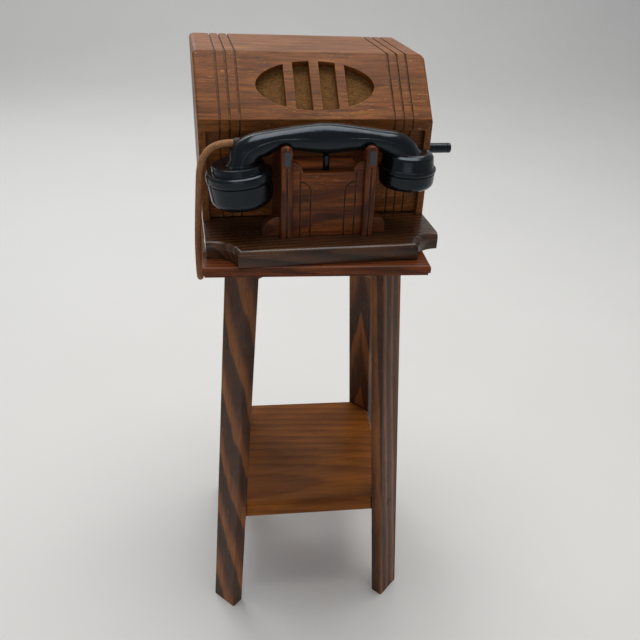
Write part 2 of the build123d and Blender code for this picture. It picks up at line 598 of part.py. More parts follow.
def contact_insulators():
    """Ebonite spacers that hold the leaves apart, against the bracket's upright."""
    y = HANDSET_Y
    spacers = []
    for step in range(2):
        high = LEAF_TOP - LEAF_THICK - step * (LEAF_THICK + LEAF_GAP)
        spacers.append(block(CRADLE_X - 6, CRADLE_X + 6, y + 6, y + 12, high - LEAF_GAP, high))
    spacers.append(block(CRADLE_X - 6, CRADLE_X + 6, y + 6, y + 12, LEAF_TOP, LEAF_TOP + LEAF_GAP))
    return spacers


# ---------------------------------------------------------------- handset
def handle_section(x, z, tilt, half_height, half_depth):
    """An oval across the handle, drawn as two halves that meet front and back."""
    angle = math.radians(tilt)
    direction = Vector(math.cos(angle), 0, math.sin(angle))
    plane = Plane(origin=(x, HANDSET_Y, z), x_dir=(0, 1, 0), z_dir=direction)
    steps = 12
    oval = [(half_depth * math.cos(math.pi * step / steps), half_height * math.sin(math.pi * step / steps))
            for step in range(2 * steps + 1)]
    upper = Spline(*oval[:steps + 1], tangents=[(0, 1), (0, -1)])
    lower = Spline(*oval[steps:], tangents=[(0, -1), (0, 1)])
    return plane * make_face([upper, lower])


def cup(place, profile, spigot):
    """One end of the handle: collar, ring, and the spigot that its cap goes over."""
    radius, length, chamber = spigot
    inside = radius - SPIGOT_WALL
    top, low = profile[0][1], profile[-1][1]
    outline = [(0, top), *profile, (radius, low), (radius, -length), (inside, -length), (inside, chamber),
               (0, chamber)]
    return turned(outline, place)


def handset_handle():
    handle = loft([handle_section(*values) for values in GRIP])
    handle = handle + cup(TRANSMITTER, TRANSMITTER_CUP, TRANSMITTER_SPIGOT)
    handle = handle + cup(RECEIVER, RECEIVER_CUP, RECEIVER_SPIGOT)
    x, y, z = CORD_ROUTE[0]
    return handle - rod(GROMMET_R + CLEARANCE, (x - 5, y, z), (GROMMET_END + CLEARANCE, y, z))


def handset_grommet():
    """The tapered sleeve that the cord leaves the handset through."""
    x, y, z = CORD_ROUTE[0]
    shoulder = x + GROMMET_NOSE
    sleeve = rod(GROMMET_R, (GROMMET_END, y, z), (shoulder, y, z))
    nose = Plane(origin=(shoulder, y, z), z_dir=(-1, 0, 0)) * Cone(
        GROMMET_R, GROMMET_NOSE_R, GROMMET_NOSE, align=LOW)
    return sleeve + nose


def cap(place, shape, spigot_r, holes):
    """A cap screwed over a spigot, with a rounded foot and sound holes in its face."""
    rim_r, foot_r, depth, rounding = shape
    body = turned([(0, -depth), (foot_r, -depth), (rim_r, -0.6), (rim_r - 0.6, 0), (0, 0)], Pos(0, 0, 0))
    body = fillet(body.edges().filter_by(GeomType.CIRCLE).sort_by(Axis.Z)[0], rounding)
    inner, floor = spigot_r + 0.1, CAP_WALL - depth
    body = body - turned([(0, floor), (inner - 4, floor), (inner, floor + 3), (inner, 1), (0, 1)], Pos(0, 0, 0))
    for radius, count in holes:
        for number in range(count):
            angle = 2 * math.pi * number / count
            x, y = radius * math.cos(angle), radius * math.sin(angle)
            body = body - rod(HOLE_R, (x, y, -depth - 1), (x, y, floor + 1))
    return place * body


def capsule(place, shape, spigot_r):
    """A transmitter or receiver unit, resting on the floor of its cap."""
    radius, low = spigot_r - SPIGOT_WALL - 1.4, CAP_WALL - shape[2]
    body = Pos(0, 0, low) * Cylinder(radius, CAPSULE_HEIGHT, align=LOW)
    return place * chamfer(body.edges().filter_by(GeomType.CIRCLE), 1.2)


# ---------------------------------------------------------------- cord
def cord_radii(points):
    """The largest tangent arcs that the two runs beside each point allow."""
    radii = []
    for before, here, after in zip(points, points[1:], points[2:]):
        run_in, run_out = Vector(*here) - Vector(*before), Vector(*after) - Vector(*here)
        half_turn = math.radians(run_in.get_angle(run_out)) / 2
        radii.append(0.45 * min(run_in.length, run_out.length) / math.tan(half_turn))
    return radii


def handset_cord():
    radii = cord_radii(CORD_ROUTE)
    print("cord arc radii", [round(radius, 1) for radius in radii])
    path = FilletPolyline(*CORD_ROUTE, radius=radii)
    first, second = Vector(*CORD_ROUTE[0]), Vector(*CORD_ROUTE[1])
    section = Plane(origin=first, z_dir=second - first) * Circle(CORD_DIAMETER / 2)
    tube = sweep(section, path=path, transition=Transition.RIGHT)
    ideal = math.pi * CORD_DIAMETER ** 2 / 4 * path.length
    print("cord length", round(path.length, 1), "volume over section x length", round(tube.volume / ideal, 4))
    return tube


def cord_bushing():
    """The flanged sleeve in the back panel that the cord goes in through."""
    x, end_y, z = CORD_ROUTE[-1]
    sleeve = rod(6.0, (x, BACK_Y - BACK_THICK - 3, z), (x, BACK_Y, z), hole=CORD_DIAMETER / 2)
    flange = rod(8.5, (x, BACK_Y, z), (x, BACK_Y + 2.5, z))
    nose = Plane(origin=(x, BACK_Y + 2.5, z), z_dir=(0, 1, 0)) * Cone(
        5.6, 4.0, end_y - BACK_Y - 2.5, align=LOW)
    return sleeve + flange + nose


# ---------------------------------------------------------------- hand generator
PINION_Z = CRANK_Z - GEAR_CENTRES


def magneto_plate(x0, shaft_hole):
    """A brass end plate standing on a foot."""
    outline = [(21, TRAY_THICK), (21, 124), (31, 134), (65, 134), (75, 124), (75, TRAY_THICK)]
    plate = side_slab(outline, x0, x0 + MAGNETO_PLATE)
    foot_side = -1 if x0 > MAGNETO_IN else 1
    foot_x = sorted((x0 + MAGNETO_PLATE / 2, x0 + MAGNETO_PLATE / 2 + foot_side * 11))
    plate = plate + block(*foot_x, 27, 69, TRAY_THICK, TRAY_THICK + MAGNETO_PLATE)
    plate = plate - rod(shaft_hole, (x0 - 1, CRANK_Y, CRANK_Z), (x0 + 5, CRANK_Y, CRANK_Z))
    plate = plate - rod(2.56, (x0 - 1, CRANK_Y, PINION_Z), (x0 + 5, CRANK_Y, PINION_Z))
    for y, z in TIE_RODS:
        plate = plate - rod(1.55, (x0 - 1, y, z), (x0 + 5, y, z))
    return plate


def magneto_tie_rods():
    rods = []
    for y, z in TIE_RODS:
        bar = rod(1.5, (MAGNETO_IN - 6, y, z), (MAGNETO_OUT + MAGNETO_PLATE + 2.2, y, z))
        low_nut = rod(3.2, (MAGNETO_IN - MAGNETO_PLATE - 2.2, y, z), (MAGNETO_IN - MAGNETO_PLATE - 0.02, y, z))
        high_nut = rod(3.2, (MAGNETO_OUT + MAGNETO_PLATE + 0.02, y, z), (MAGNETO_OUT + MAGNETO_PLATE + 2.2, y, z))
        rods.append(bar + low_nut + high_nut)
    return rods


def magneto_magnets():
    """Three horseshoe magnets side by side, bend downward, poles round the armature."""
    outer = MAGNET_GAP + MAGNET_THICK
    bend_z = TRAY_THICK + 3 + outer
    top = PINION_Z + 13
    magnets = []
    pitch = (MAGNETO_OUT - MAGNETO_IN) / 3
    for number in range(3):
        x0 = MAGNETO_IN + number * pitch + 0.4
        x1 = x0 + pitch - 0.8
        bend = rod(outer, (x0, CRANK_Y, bend_z), (x1, CRANK_Y, bend_z), hole=MAGNET_GAP)
        bend = bend & block(x0, x1, 0, 120, 0, bend_z)
        legs = [block(x0, x1, *sorted((CRANK_Y + side * MAGNET_GAP, CRANK_Y + side * outer)), bend_z, top)
                for side in (-1, 1)]
        magnets.append(bend + legs)
    return magnets


def pole_pieces():
    """Iron blocks between the magnets' legs, bored for the armature."""
    poles = []
    for side in (-1, 1):
        y0, y1 = sorted((CRANK_Y + side * 6, CRANK_Y + side * MAGNET_GAP))
        pole = block(MAGNETO_IN, MAGNETO_OUT, y0, y1, PINION_Z - 13, PINION_Z + 13)
        bore = rod(ARMATURE_R + 0.35, (0, CRANK_Y, PINION_Z), (200, CRANK_Y, PINION_Z))
        poles.append(pole - bore)
    return poles


def armature_core():
    """The shuttle-shaped iron core on its shaft."""
    x0, x1 = MAGNETO_IN + 1.5, MAGNETO_OUT - 1.5
    core = rod(ARMATURE_R, (x0, CRANK_Y, PINION_Z), (x1, CRANK_Y, PINION_Z))
    for side in (-1, 1):
        slot = block(x0 - 1, x1 + 1, CRANK_Y - 8, CRANK_Y + 8,
                     *sorted((PINION_Z + side * 3.2, PINION_Z + side * 8.2)))
        mouth = block(x0 - 1, x1 + 1, CRANK_Y - 4, CRANK_Y + 4,
                      *sorted((PINION_Z + side * 3.2, PINION_Z + side * 14)))
        core = core - slot - mouth
    shaft = rod(2.5, (MAGNETO_IN - 6, CRANK_Y, PINION_Z), (GEAR_X + GEAR_THICK + 2, CRANK_Y, PINION_Z))
    return core + shaft


def armature_winding():
    x0, x1 = MAGNETO_IN + 3, MAGNETO_OUT - 3
    return [block(x0, x1, CRANK_Y - 5.8, CRANK_Y + 5.8, *sorted((PINION_Z + side * 3.4, PINION_Z + side * 7.6)))
            for side in (-1, 1)]


def armature_pinion():
    gear = involute_gear(PINION_TEETH, GEAR_THICK, 0, 2.5 + CLEARANCE)
    return gear_place(PINION_Z, 90) * gear


def gear_place(z, tooth_angle):
    """Local X up, local Z along +X, with a tooth turned to the given angle from local X."""
    plane = Plane(origin=(GEAR_X, CRANK_Y, z), x_dir=(0, 1, 0), z_dir=(1, 0, 0))
    return plane.location * Rot(0, 0, tooth_angle)


def crank_gear():
    half_tooth = 180 / GEAR_TEETH
    gear = involute_gear(GEAR_TEETH, GEAR_THICK, half_tooth, SHAFT_R + CLEARANCE)
    holes = [Pos(13 * math.cos(angle), 13 * math.sin(angle), 0) * Cylinder(3.2, 20)
             for angle in [math.radians(60 * number) for number in range(6)]]
    return gear_place(CRANK_Z, -90) * (gear - holes)


def crank_shaft():
    return rod(SHAFT_R, (MAGNETO_IN - 6, CRANK_Y, CRANK_Z), (KNOB_IN - 1.2, CRANK_Y, CRANK_Z))


def crank_bush():
    bush = rod(BUSH_R, (INNER, CRANK_Y, CRANK_Z), (HALF, CRANK_Y, CRANK_Z))
    flange = rod(9.5, (HALF, CRANK_Y, CRANK_Z), (HALF + 1.2, CRANK_Y, CRANK_Z))
    return bush + flange - rod(SHAFT_R + 0.07, (0, CRANK_Y, CRANK_Z), (200, CRANK_Y, CRANK_Z))


def crank_arm():
    """A flat arm hanging straight down, with a round boss at each end."""
    x0, x1 = HALF + 4.0, HALF + 7.4
    end_z = CRANK_Z - CRANK_THROW
    blade = block(x0, x1, CRANK_Y - 4.5, CRANK_Y + 4.5, end_z, CRANK_Z)
    eyes = [rod(6.0, (x0, CRANK_Y, end_z), (x1, CRANK_Y, end_z)),
            rod(7.5, (HALF + 1.3, CRANK_Y, CRANK_Z), (x1 + 0.8, CRANK_Y, CRANK_Z))]
    arm = blade + eyes - rod(SHAFT_R + CLEARANCE, (0, CRANK_Y, CRANK_Z), (200, CRANK_Y, CRANK_Z))
    return arm - rod(PIN_R + CLEARANCE, (0, CRANK_Y, end_z), (200, CRANK_Y, end_z))


def knob_pin():
    z = CRANK_Z - CRANK_THROW
    pin = rod(PIN_R, (HALF + 3.2, CRANK_Y, z), (KNOB_OUT - 1.6, CRANK_Y, z))
    head = rod(3.7, (KNOB_OUT - 1.6, CRANK_Y, z), (KNOB_OUT - 0.6, CRANK_Y, z))
    washer = rod(4.6, (HALF + 7.5, CRANK_Y, z), (KNOB_IN - 0.1, CRANK_Y, z))
    return pin + head + washer


def crank_knob():
    """A plain round knob with a fine groove near its end, that spins on the crank's pin."""
    length, r = KNOB_OUT - KNOB_IN, KNOB_R
    bore, recess_r, recess = PIN_R + 0.07, 3.9, length - 1.8
    groove = length - KNOB_GROOVE
    outline = [(bore, 0), (r - KNOB_BEVEL, 0), (r, KNOB_BEVEL), (r, groove - 0.5), (r - 0.5, groove),
               (r, groove + 0.5), (r, length - KNOB_BEVEL), (r - KNOB_BEVEL, length), (recess_r, length),
               (recess_r, recess), (bore, recess)]
    place = Plane(origin=(KNOB_IN, CRANK_Y, CRANK_Z - CRANK_THROW), z_dir=(1, 0, 0)).location
    return turned(outline, place)


# ---------------------------------------------------------------- ringer and electrical parts
def gong_x(side):
    return GONG_MID + side * (GONG_R + GONG_GAP / 2)


def gong(side):
    """A shallow bell metal cup, open towards the back."""
    r = GONG_R
    outline = [(3.1, 0), (7, 0), (15, 1.6), (22, 5.2), (26.2, 10), (r, 16), (r, 17.4), (r - 1.4, 17.4),
               (r - 1.5, 15.6), (24.8, 10.6), (21, 6.6), (14.4, 3.2), (7, 1.6), (3.1, 1.6)]
    place = Plane(origin=(gong_x(side), GONG_RIM_Y - 14, GONG_Z), x_dir=(1, 0, 0), z_dir=(0, 1, 0)).location
    return turned(outline, place)


def gong_post(side):
    x, face = gong_x(side), GONG_RIM_Y - 14
    post = rod(5.0, (x, face + 1.65, GONG_Z), (x, BACK_Y - BACK_THICK, GONG_Z))
    return post - rod(1.55, (x, face, GONG_Z), (x, face + 14, GONG_Z))


def gong_screw(side):
    x, face = gong_x(side), GONG_RIM_Y - 14
    shank = rod(1.5, (x, face - 0.05, GONG_Z), (x, face + 12, GONG_Z))
    head = rod(4.4, (x, face - 2.4, GONG_Z), (x, face - 0.05, GONG_Z))
    return shank + head


COIL_X, COIL_R, COIL_LOW, COIL_HIGH = 15.5, 10.5, 26.0, 62.0


def ringer_yoke():
    """Steel angle on the back panel: the coils stand on it, and its ears carry the rocker's pivot."""
    back = BACK_Y - BACK_THICK
    base = block(GONG_MID - 32, GONG_MID + 32, RINGER_Y - 11, back, COIL_LOW - 3, COIL_LOW)
    wall = block(GONG_MID - 32, GONG_MID + 32, back - 3, back, COIL_LOW - 3, 84)
    ears = [block(GONG_MID - 5, GONG_MID + 5, y, y + 2, ROCKER_Z - 5, ROCKER_Z + 5)
            for y in (RINGER_Y - 8.2, RINGER_Y + 6.2)]
    arm = block(GONG_MID - 5, GONG_MID + 5, RINGER_Y + 6.2, back - 3, ROCKER_Z - 5, ROCKER_Z + 5)
    bridge = block(GONG_MID - 5, GONG_MID - 3, RINGER_Y - 8.2, RINGER_Y + 8, COIL_LOW, ROCKER_Z - 4)
    yoke = base + wall + ears + arm + bridge
    return yoke - rod(1.56, (GONG_MID, 100, ROCKER_Z), (GONG_MID, back - 3.5, ROCKER_Z))


def ringer_coils():
    coils = []
    for side in (-1, 1):
        x = GONG_MID + side * COIL_X
        bobbin = rod(COIL_R - 1.2, (x, RINGER_Y, COIL_LOW + 2), (x, RINGER_Y, COIL_HIGH - 2))
        ends = [rod(COIL_R, (x, RINGER_Y, z), (x, RINGER_Y, z + 2)) for z in (COIL_LOW, COIL_HIGH - 2)]
        core = rod(3.5, (x, RINGER_Y, COIL_HIGH), (x, RINGER_Y, COIL_HIGH + 4))
        coils.append(bobbin + ends + core)
    return coils


def clapper_rocker():
    """The soft-iron rocker over the coils, on its pivot pin."""
    bar = block(GONG_MID - 24, GONG_MID + 24, RINGER_Y - 5, RINGER_Y + 5, ROCKER_Z - 2, ROCKER_Z + 2)
    pivot = rod(1.5, (GONG_MID, RINGER_Y - 8.2, ROCKER_Z), (GONG_MID, RINGER_Y + 8.2, ROCKER_Z))
    return bar + pivot


def clapper_rod():
    """The wire from the rocker up between the gongs, with its ball."""
    x, y = GONG_MID, RINGER_Y
    upright = rod(1.0, (x, y, ROCKER_Z + 2), (x, y, GONG_Z - 22))
    lean = rod(1.0, (x, y, GONG_Z - 22.5), (x, GONG_RIM_Y, GONG_Z))
    ball = Pos(x, GONG_RIM_Y, GONG_Z) * Sphere(4.0)
    joint = Pos(x, y, GONG_Z - 22.2) * Sphere(1.25)
    return upright + lean + ball + joint


def induction_coil():
    y = 104.0
    winding = rod(11, (34, y, TRAY_THICK + 14), (84, y, TRAY_THICK + 14))
    cheeks = [block(x, x + 4, y - 14, y + 14, TRAY_THICK, TRAY_THICK + 28) for x in (30, 84)]
    return winding + cheeks


def condenser():
    return fillet(block(34, 84, 124, 144, TRAY_THICK, TRAY_THICK + 46).edges().filter_by(Axis.Z), 1.5)


def terminal_strip():
    return block(-100, -20, 60, 78, TRAY_THICK, TRAY_THICK + 9)


def terminal_screws():
    screws = []
    for number in range(5):
        x = -92 + 16 * number
        head = rod(3.4, (x, 69, TRAY_THICK + 10.2), (x, 69, TRAY_THICK + 13))
        nut = rod(4.2, (x, 69, TRAY_THICK + 9), (x, 69, TRAY_THICK + 10.2))
        screws.append(head + nut)
    return screws


# ---------------------------------------------------------------- the nodes
CORNERS = ("rear_right", "rear_left", "front_left", "front_right")


def main():
    os.makedirs("parts", exist_ok=True)
    four = range(4)
    save("stand_top", STAND, stand_top())
    for number, corner in enumerate(CORNERS):
        save(f"stand_leg_{corner}", STAND, stand_leg(number))
    save("stand_shelf", STAND, stand_shelf())
    save("corner_blocks", STAND, *[corner_block(number) for number in four])
    save("stand_screws", STAND, block_screw_shapes(), *[leg_screw(number, up) for number in four
                                                        for up in (SHELF_SCREW_UP, BLOCK_SCREW_UP)])
    save("leg_plugs", STAND, *[leg_plug(number, up) for number in four
                               for up in (SHELF_SCREW_UP, BLOCK_SCREW_UP)])

    save("tray_board", PHONE, tray_board())
    save("side_left", PHONE, side_board(-1))
    save("side_right", PHONE, side_board(1))
    save("top_board", PHONE, top_board())
    save("slope_board", PHONE, slope_board())
    save("lower_panel", PHONE, lower_panel())
    save("back_panel", PHONE, back_panel())
    save("back_screws", PHONE, back_screw_shapes())
    save("glue_blocks", PHONE, *glue_blocks(), *back_cleats())
    save("cabinet_screws", PHONE, cabinet_screw_shapes())
    save("grille_cloth", PHONE, grille_cloth())
    save("cloth_frame", PHONE, cloth_frame())
    save("cloth_tacks", PHONE, *tack_shapes())

    for side, word in ((-1, "left"), (1, "right")):
        save(f"cradle_ear_{word}", PHONE, cradle_ear(side))
    save("ear_inlays", PHONE, ear_inlay(-1), ear_inlay(1))
    save("cradle_brackets", PHONE, cradle_bracket(-1), cradle_bracket(1))
    save("cradle_panel", PHONE, cradle_panel())
    save("cradle_plate", PHONE, cradle_plate())
    save("hook_plunger", PHONE, hook_plunger())
    save("plunger_spring", PHONE, plunger_spring())
    save("switch_bracket", PHONE, switch_bracket())
    save("hook_contacts", PHONE, *contact_springs(), *contact_insulators())

    save("handset_handle", PHONE, handset_handle())
    mouth_r, ear_r = TRANSMITTER_SPIGOT[0], RECEIVER_SPIGOT[0]
    save("transmitter_cap", PHONE, cap(TRANSMITTER, TRANSMITTER_CAP, mouth_r, TRANSMITTER_HOLES))
    save("receiver_cap", PHONE, cap(RECEIVER, RECEIVER_CAP, ear_r, RECEIVER_HOLES))
    save("transmitter_capsule", PHONE, capsule(TRANSMITTER, TRANSMITTER_CAP, mouth_r))
    save("receiver_capsule", PHONE, capsule(RECEIVER, RECEIVER_CAP, ear_r))
    save("handset_grommet", PHONE, handset_grommet())
    save("handset_cord", PHONE, handset_cord())
    save("cord_bushing", PHONE, cord_bushing())

    save("magneto_frame", PHONE, magneto_plate(MAGNETO_IN - MAGNETO_PLATE, SHAFT_R + 0.07),
         magneto_plate(MAGNETO_OUT, SHAFT_R + 0.07), *magneto_tie_rods())
    save("magneto_magnets", PHONE, *magneto_magnets())
    save("pole_pieces", PHONE, *pole_pieces())
    save("armature", PHONE, armature_core(), *armature_winding())
    save("armature_pinion", PHONE, armature_pinion())
    save("crank_gear", PHONE, crank_gear())
    save("crank_shaft", PHONE, crank_shaft())
    save("crank_bush", PHONE, crank_bush())
    save("crank_arm", PHONE, crank_arm())
    save("knob_pin", PHONE, knob_pin())
    save("crank_knob", PHONE, crank_knob())

    save("gongs", PHONE, gong(-1), gong(1))
    save("gong_fixings", PHONE, *[make(side) for side in (-1, 1) for make in (gong_post, gong_screw)])
    save("ringer_yoke", PHONE, ringer_yoke())
    save("ringer_coils", PHONE, *ringer_coils())
    save("clapper", PHONE, clapper_rocker(), clapper_rod())
    save("induction_coil", PHONE, induction_coil())
    save("condenser", PHONE, condenser())
    save("terminal_strip", PHONE, terminal_strip(), *terminal_screws())


main()
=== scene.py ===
import math

import bpy
from mathutils import Matrix, Vector


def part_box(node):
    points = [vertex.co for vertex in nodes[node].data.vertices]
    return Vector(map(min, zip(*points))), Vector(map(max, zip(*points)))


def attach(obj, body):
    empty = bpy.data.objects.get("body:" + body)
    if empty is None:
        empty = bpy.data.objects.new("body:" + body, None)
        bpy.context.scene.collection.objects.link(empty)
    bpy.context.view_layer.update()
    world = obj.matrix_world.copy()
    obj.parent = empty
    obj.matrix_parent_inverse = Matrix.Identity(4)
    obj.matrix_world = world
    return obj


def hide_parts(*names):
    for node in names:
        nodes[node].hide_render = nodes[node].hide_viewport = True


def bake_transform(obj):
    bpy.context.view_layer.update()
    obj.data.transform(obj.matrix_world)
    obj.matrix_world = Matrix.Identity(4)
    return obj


# A wooden hand-generator telephone on its four-legged stand. Metres, +Z up, front towards -Y.
# The frame's solid parts keep their shapes and get detailed finishes. The handset's cord and
# the speaker cloth are modelled here as real braid and real weave.

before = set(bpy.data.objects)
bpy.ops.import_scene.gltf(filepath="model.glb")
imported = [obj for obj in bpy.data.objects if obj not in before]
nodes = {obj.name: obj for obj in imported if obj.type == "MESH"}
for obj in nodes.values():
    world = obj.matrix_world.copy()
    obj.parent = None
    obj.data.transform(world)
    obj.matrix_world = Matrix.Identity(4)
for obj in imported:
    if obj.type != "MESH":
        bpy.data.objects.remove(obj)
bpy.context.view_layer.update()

SLOPE_TILT = math.radians(47.34)      # the slope board's rise from the level
STAND_TURN = math.radians(-4.8)       # the stand is turned a little under the telephone

# ---------------------------------------------------------------- camera
CAMERA_PLACE = Vector((-0.1487, -0.7203, 0.7892))
CAMERA_YAW, CAMERA_PITCH, CAMERA_ROLL = 0.252, 0.555, 0.0636
CAMERA_LENS = 38.83
CAMERA_SHIFT = (-0.0421, 0.0326)


def make_camera():
    """The camera looks down at the front from a little to the left, slightly rolled."""
    ahead = Vector((math.sin(CAMERA_YAW) * math.cos(CAMERA_PITCH),
                    math.cos(CAMERA_YAW) * math.cos(CAMERA_PITCH), -math.sin(CAMERA_PITCH)))
    level = Vector((math.cos(CAMERA_YAW), -math.sin(CAMERA_YAW), 0))
    rise = level.cross(ahead)
    right = level * math.cos(CAMERA_ROLL) + rise * math.sin(CAMERA_ROLL)
    up = rise * math.cos(CAMERA_ROLL) - level * math.sin(CAMERA_ROLL)
    data = bpy.data.cameras.new("camera")
    data.sensor_width = 36
    data.lens = CAMERA_LENS
    data.shift_x, data.shift_y = CAMERA_SHIFT
    data.clip_start = 0.02
    camera = bpy.data.objects.new("camera", data)
    turn = Matrix((right, up, -ahead)).transposed().to_4x4()
    camera.matrix_world = Matrix.Translation(CAMERA_PLACE) @ turn
    bpy.context.scene.collection.objects.link(camera)
    bpy.context.scene.camera = camera


# ---------------------------------------------------------------- mesh helpers
def new_piece(name, vertices, faces):
    """A smooth-shaded mesh object, linked to the scene."""
    mesh = bpy.data.meshes.new(name)
    mesh.from_pydata([tuple(v) for v in vertices], [], faces)
    mesh.validate()
    mesh.shade_smooth()
    piece = bpy.data.objects.new(name, mesh)
    bpy.context.scene.collection.objects.link(piece)
    return piece


def spline_points(points, resolution):
    """Points read along the smooth NURBS line whose control points are given."""
    curve = bpy.data.curves.new("route", "CURVE")
    curve.dimensions = "3D"
    curve.resolution_u = resolution
    spline = curve.splines.new("NURBS")
    spline.points.add(len(points) - 1)
    for point, place in zip(spline.points, points):
        point.co = (*place, 1)
    spline.order_u = 3
    spline.use_endpoint_u = True
    holder = bpy.data.objects.new("route", curve)
    bpy.context.scene.collection.objects.link(holder)
    mesh = bpy.data.meshes.new_from_object(holder)
    line = [v.co.copy() for v in mesh.vertices]
    bpy.data.objects.remove(holder)
    bpy.data.meshes.remove(mesh)
    return line


def evenly(line, step):
    """The same line as evenly spaced points, about a step apart, both ends kept."""
    lengths = [0.0]
    for before, after in zip(line, line[1:]):
        lengths.append(lengths[-1] + (after - before).length)
    count = max(2, round(lengths[-1] / step))
    points, span = [], 0
    for number in range(count + 1):
        reach = lengths[-1] * number / count
        while span < len(line) - 2 and lengths[span + 1] < reach:
            span += 1
        share = (reach - lengths[span]) / max(1e-12, lengths[span + 1] - lengths[span])
        points.append(line[span].lerp(line[span + 1], min(1.0, share)))
    return points, lengths[-1]


def frames_along(points):
    """A tangent and two crosswise directions at each point, turned as little as possible."""
    tangents = []
    for number in range(len(points)):
        before = points[max(0, number - 1)]
        after = points[min(len(points) - 1, number + 1)]
        tangents.append((after - before).normalized())
    across = tangents[0].orthogonal().normalized()
    result = []
    for tangent in tangents:
        across = (across - tangent * across.dot(tangent)).normalized()
        result.append((tangent, across, tangent.cross(across)))
    return result


# ---------------------------------------------------------------- shader helpers
class Finish:
    """One material's node tree, with short calls for the nodes that the finishes share."""

    def __init__(self, name):
        self.material = bpy.data.materials.new(name)
        self.material.use_nodes = True
        self.tree = self.material.node_tree
        self.surface = self.tree.nodes["Principled BSDF"]
        self.place = self.add("TexCoord", {}, "Object")

    def add(self, kind, inputs, out=0, **settings):
        """A new node: inputs maps sockets to values or to other nodes' outputs."""
        node = self.tree.nodes.new("ShaderNode" + kind)
        for key, value in settings.items():
            setattr(node, key, value)
        for key, value in inputs.items():
            self.feed(node.inputs[key], value)
        return node.outputs[out]

    def feed(self, socket, value):
        """Links another node's output to a socket, or sets the socket's value."""
        if isinstance(value, bpy.types.NodeSocket):
            self.tree.links.new(value, socket)
        elif isinstance(value, (tuple, Vector)) and len(value) == 3 and socket.type == "RGBA":
            socket.default_value = (*value, 1)
        else:
            socket.default_value = value

    def math(self, operation, a, b=0.0, clamp=False):
        return self.add("Math", {0: a, 1: b}, operation=operation, use_clamp=clamp)

    def vector(self, operation, a, b=(0, 0, 0), out=0):
        return self.add("VectorMath", {0: a, 1: b}, out, operation=operation)

    def stretched(self, vector, scale):
        return self.vector("MULTIPLY", vector, scale)

    def noise(self, vector, scale, detail=3.0, roughness=0.55, distortion=0.0, out=0):
        sockets = {"Vector": vector, "Scale": scale, "Detail": detail,
                   "Roughness": roughness, "Distortion": distortion}
        return self.add("TexNoise", sockets, out)

    def cells(self, vector, scale):
        """Distance to the nearest of randomly scattered points."""
        return self.add("TexVoronoi", {"Vector": vector, "Scale": scale}, "Distance")

    def remap(self, value, low, high, to_low=0.0, to_high=1.0, smooth=False):
        """low..high stretched to to_low..to_high, and held at the ends."""
        kind = "SMOOTHSTEP" if smooth else "LINEAR"
        sockets = {"Value": value, "From Min": low, "From Max": high,
                   "To Min": to_low, "To Max": to_high}
        return self.add("MapRange", sockets, interpolation_type=kind)

    def ramp(self, value, stops):
        """A colour read from (position, colour) stops."""
        node = self.tree.nodes.new("ShaderNodeValToRGB")
        elements = node.color_ramp.elements
        while len(elements) < len(stops):
            elements.new(0.5)
        for element, (position, colour) in zip(elements, stops):
            element.position = position
            element.color = (*colour, 1)
        self.feed(node.inputs[0], value)
        return node.outputs[0]

    def mix(self, share, a, b, blend="MIX"):
        """Colour a with a share of colour b laid over it."""
        return self.add("Mix", {0: share, 6: a, 7: b}, 2, data_type="RGBA", blend_type=blend)

    def split(self, vector):
        node = self.tree.nodes.new("ShaderNodeSeparateXYZ")
        self.feed(node.inputs[0], vector)
        return node.outputs

    def join(self, x, y, z):
        return self.add("CombineXYZ", {0: x, 1: y, 2: z})

    def worn_edges(self, radius, breakup, low=0.02, high=0.16):
        """1 along outer and inner edges, 0 on flat faces, broken up by a noise."""
        rounded = self.add("Bevel", {"Radius": radius}, samples=6)
        plain = self.add("NewGeometry", {}, "Normal")
        turned = self.math("SUBTRACT", 1.0, self.vector("DOT_PRODUCT", rounded, plain, "Value"))
        edge = self.remap(turned, low, high)
        return self.math("MULTIPLY", edge, breakup, clamp=True)

    def bump(self, height, depth, normal=None, strength=1.0):
        """A normal tilted by a relief whose height of 1 stands for depth, in metres."""
        sockets = {"Height": height, "Distance": depth, "Strength": strength}
        if normal is not None:
            sockets["Normal"] = normal
        return self.add("Bump", sockets)

    def finish(self, **sockets):
        """Sets the surface's sockets; an underscore stands for a space."""
        for key, value in sockets.items():
            self.feed(self.surface.inputs[key.replace("_", " ")], value)
        return self.material


# ---------------------------------------------------------------- wood
# features per metre along the grain, across it in the face, and through the board
WANDER_SCALE = (3.2, 16, 16)
RIPPLE_SCALE = (6, 90, 90)
FIBRE_SCALE = (16, 900, 900)
FINE_FIBRE_SCALE = (60, 3600, 3600)
BLOTCH_SCALE = (9, 26, 26)
STREAK_SCALE = (26, 430, 430)
PORE_SCALE = (95, 2300, 2300)
SCUFF_SCALE = (70, 420, 420)
SCUFFED_PATCH_SCALE = (11, 21, 21)
BRUSHED_SCALE = (28, 60, 60)
CHIPS_PER_METRE = 130.0       # breaks in the worn arrises
WANDER = 0.016                # how far the whole grain wanders sideways
CREVICE = 0.0032              # how deep in a cut the grime and painted shade reach
WORN_ARRIS = 0.0011           # how far in from an edge the wood is rubbed
ARRIS_ROUND = 0.0007
GRAIN_DEPTH, BRUSHED_DEPTH = 0.00022, 0.00035
PORE_TINT = (0.25, 0.2, 0.2)
# near-black colour laid into crevices, standing for grime and for painted shade
CREVICE_GRIME_AND_SHADE = (0.004, 0.002, 0.001)
SEED_STEP = (1.7, 0.31, 0.13)     # shift of the noises, in metres, from one seed to the next


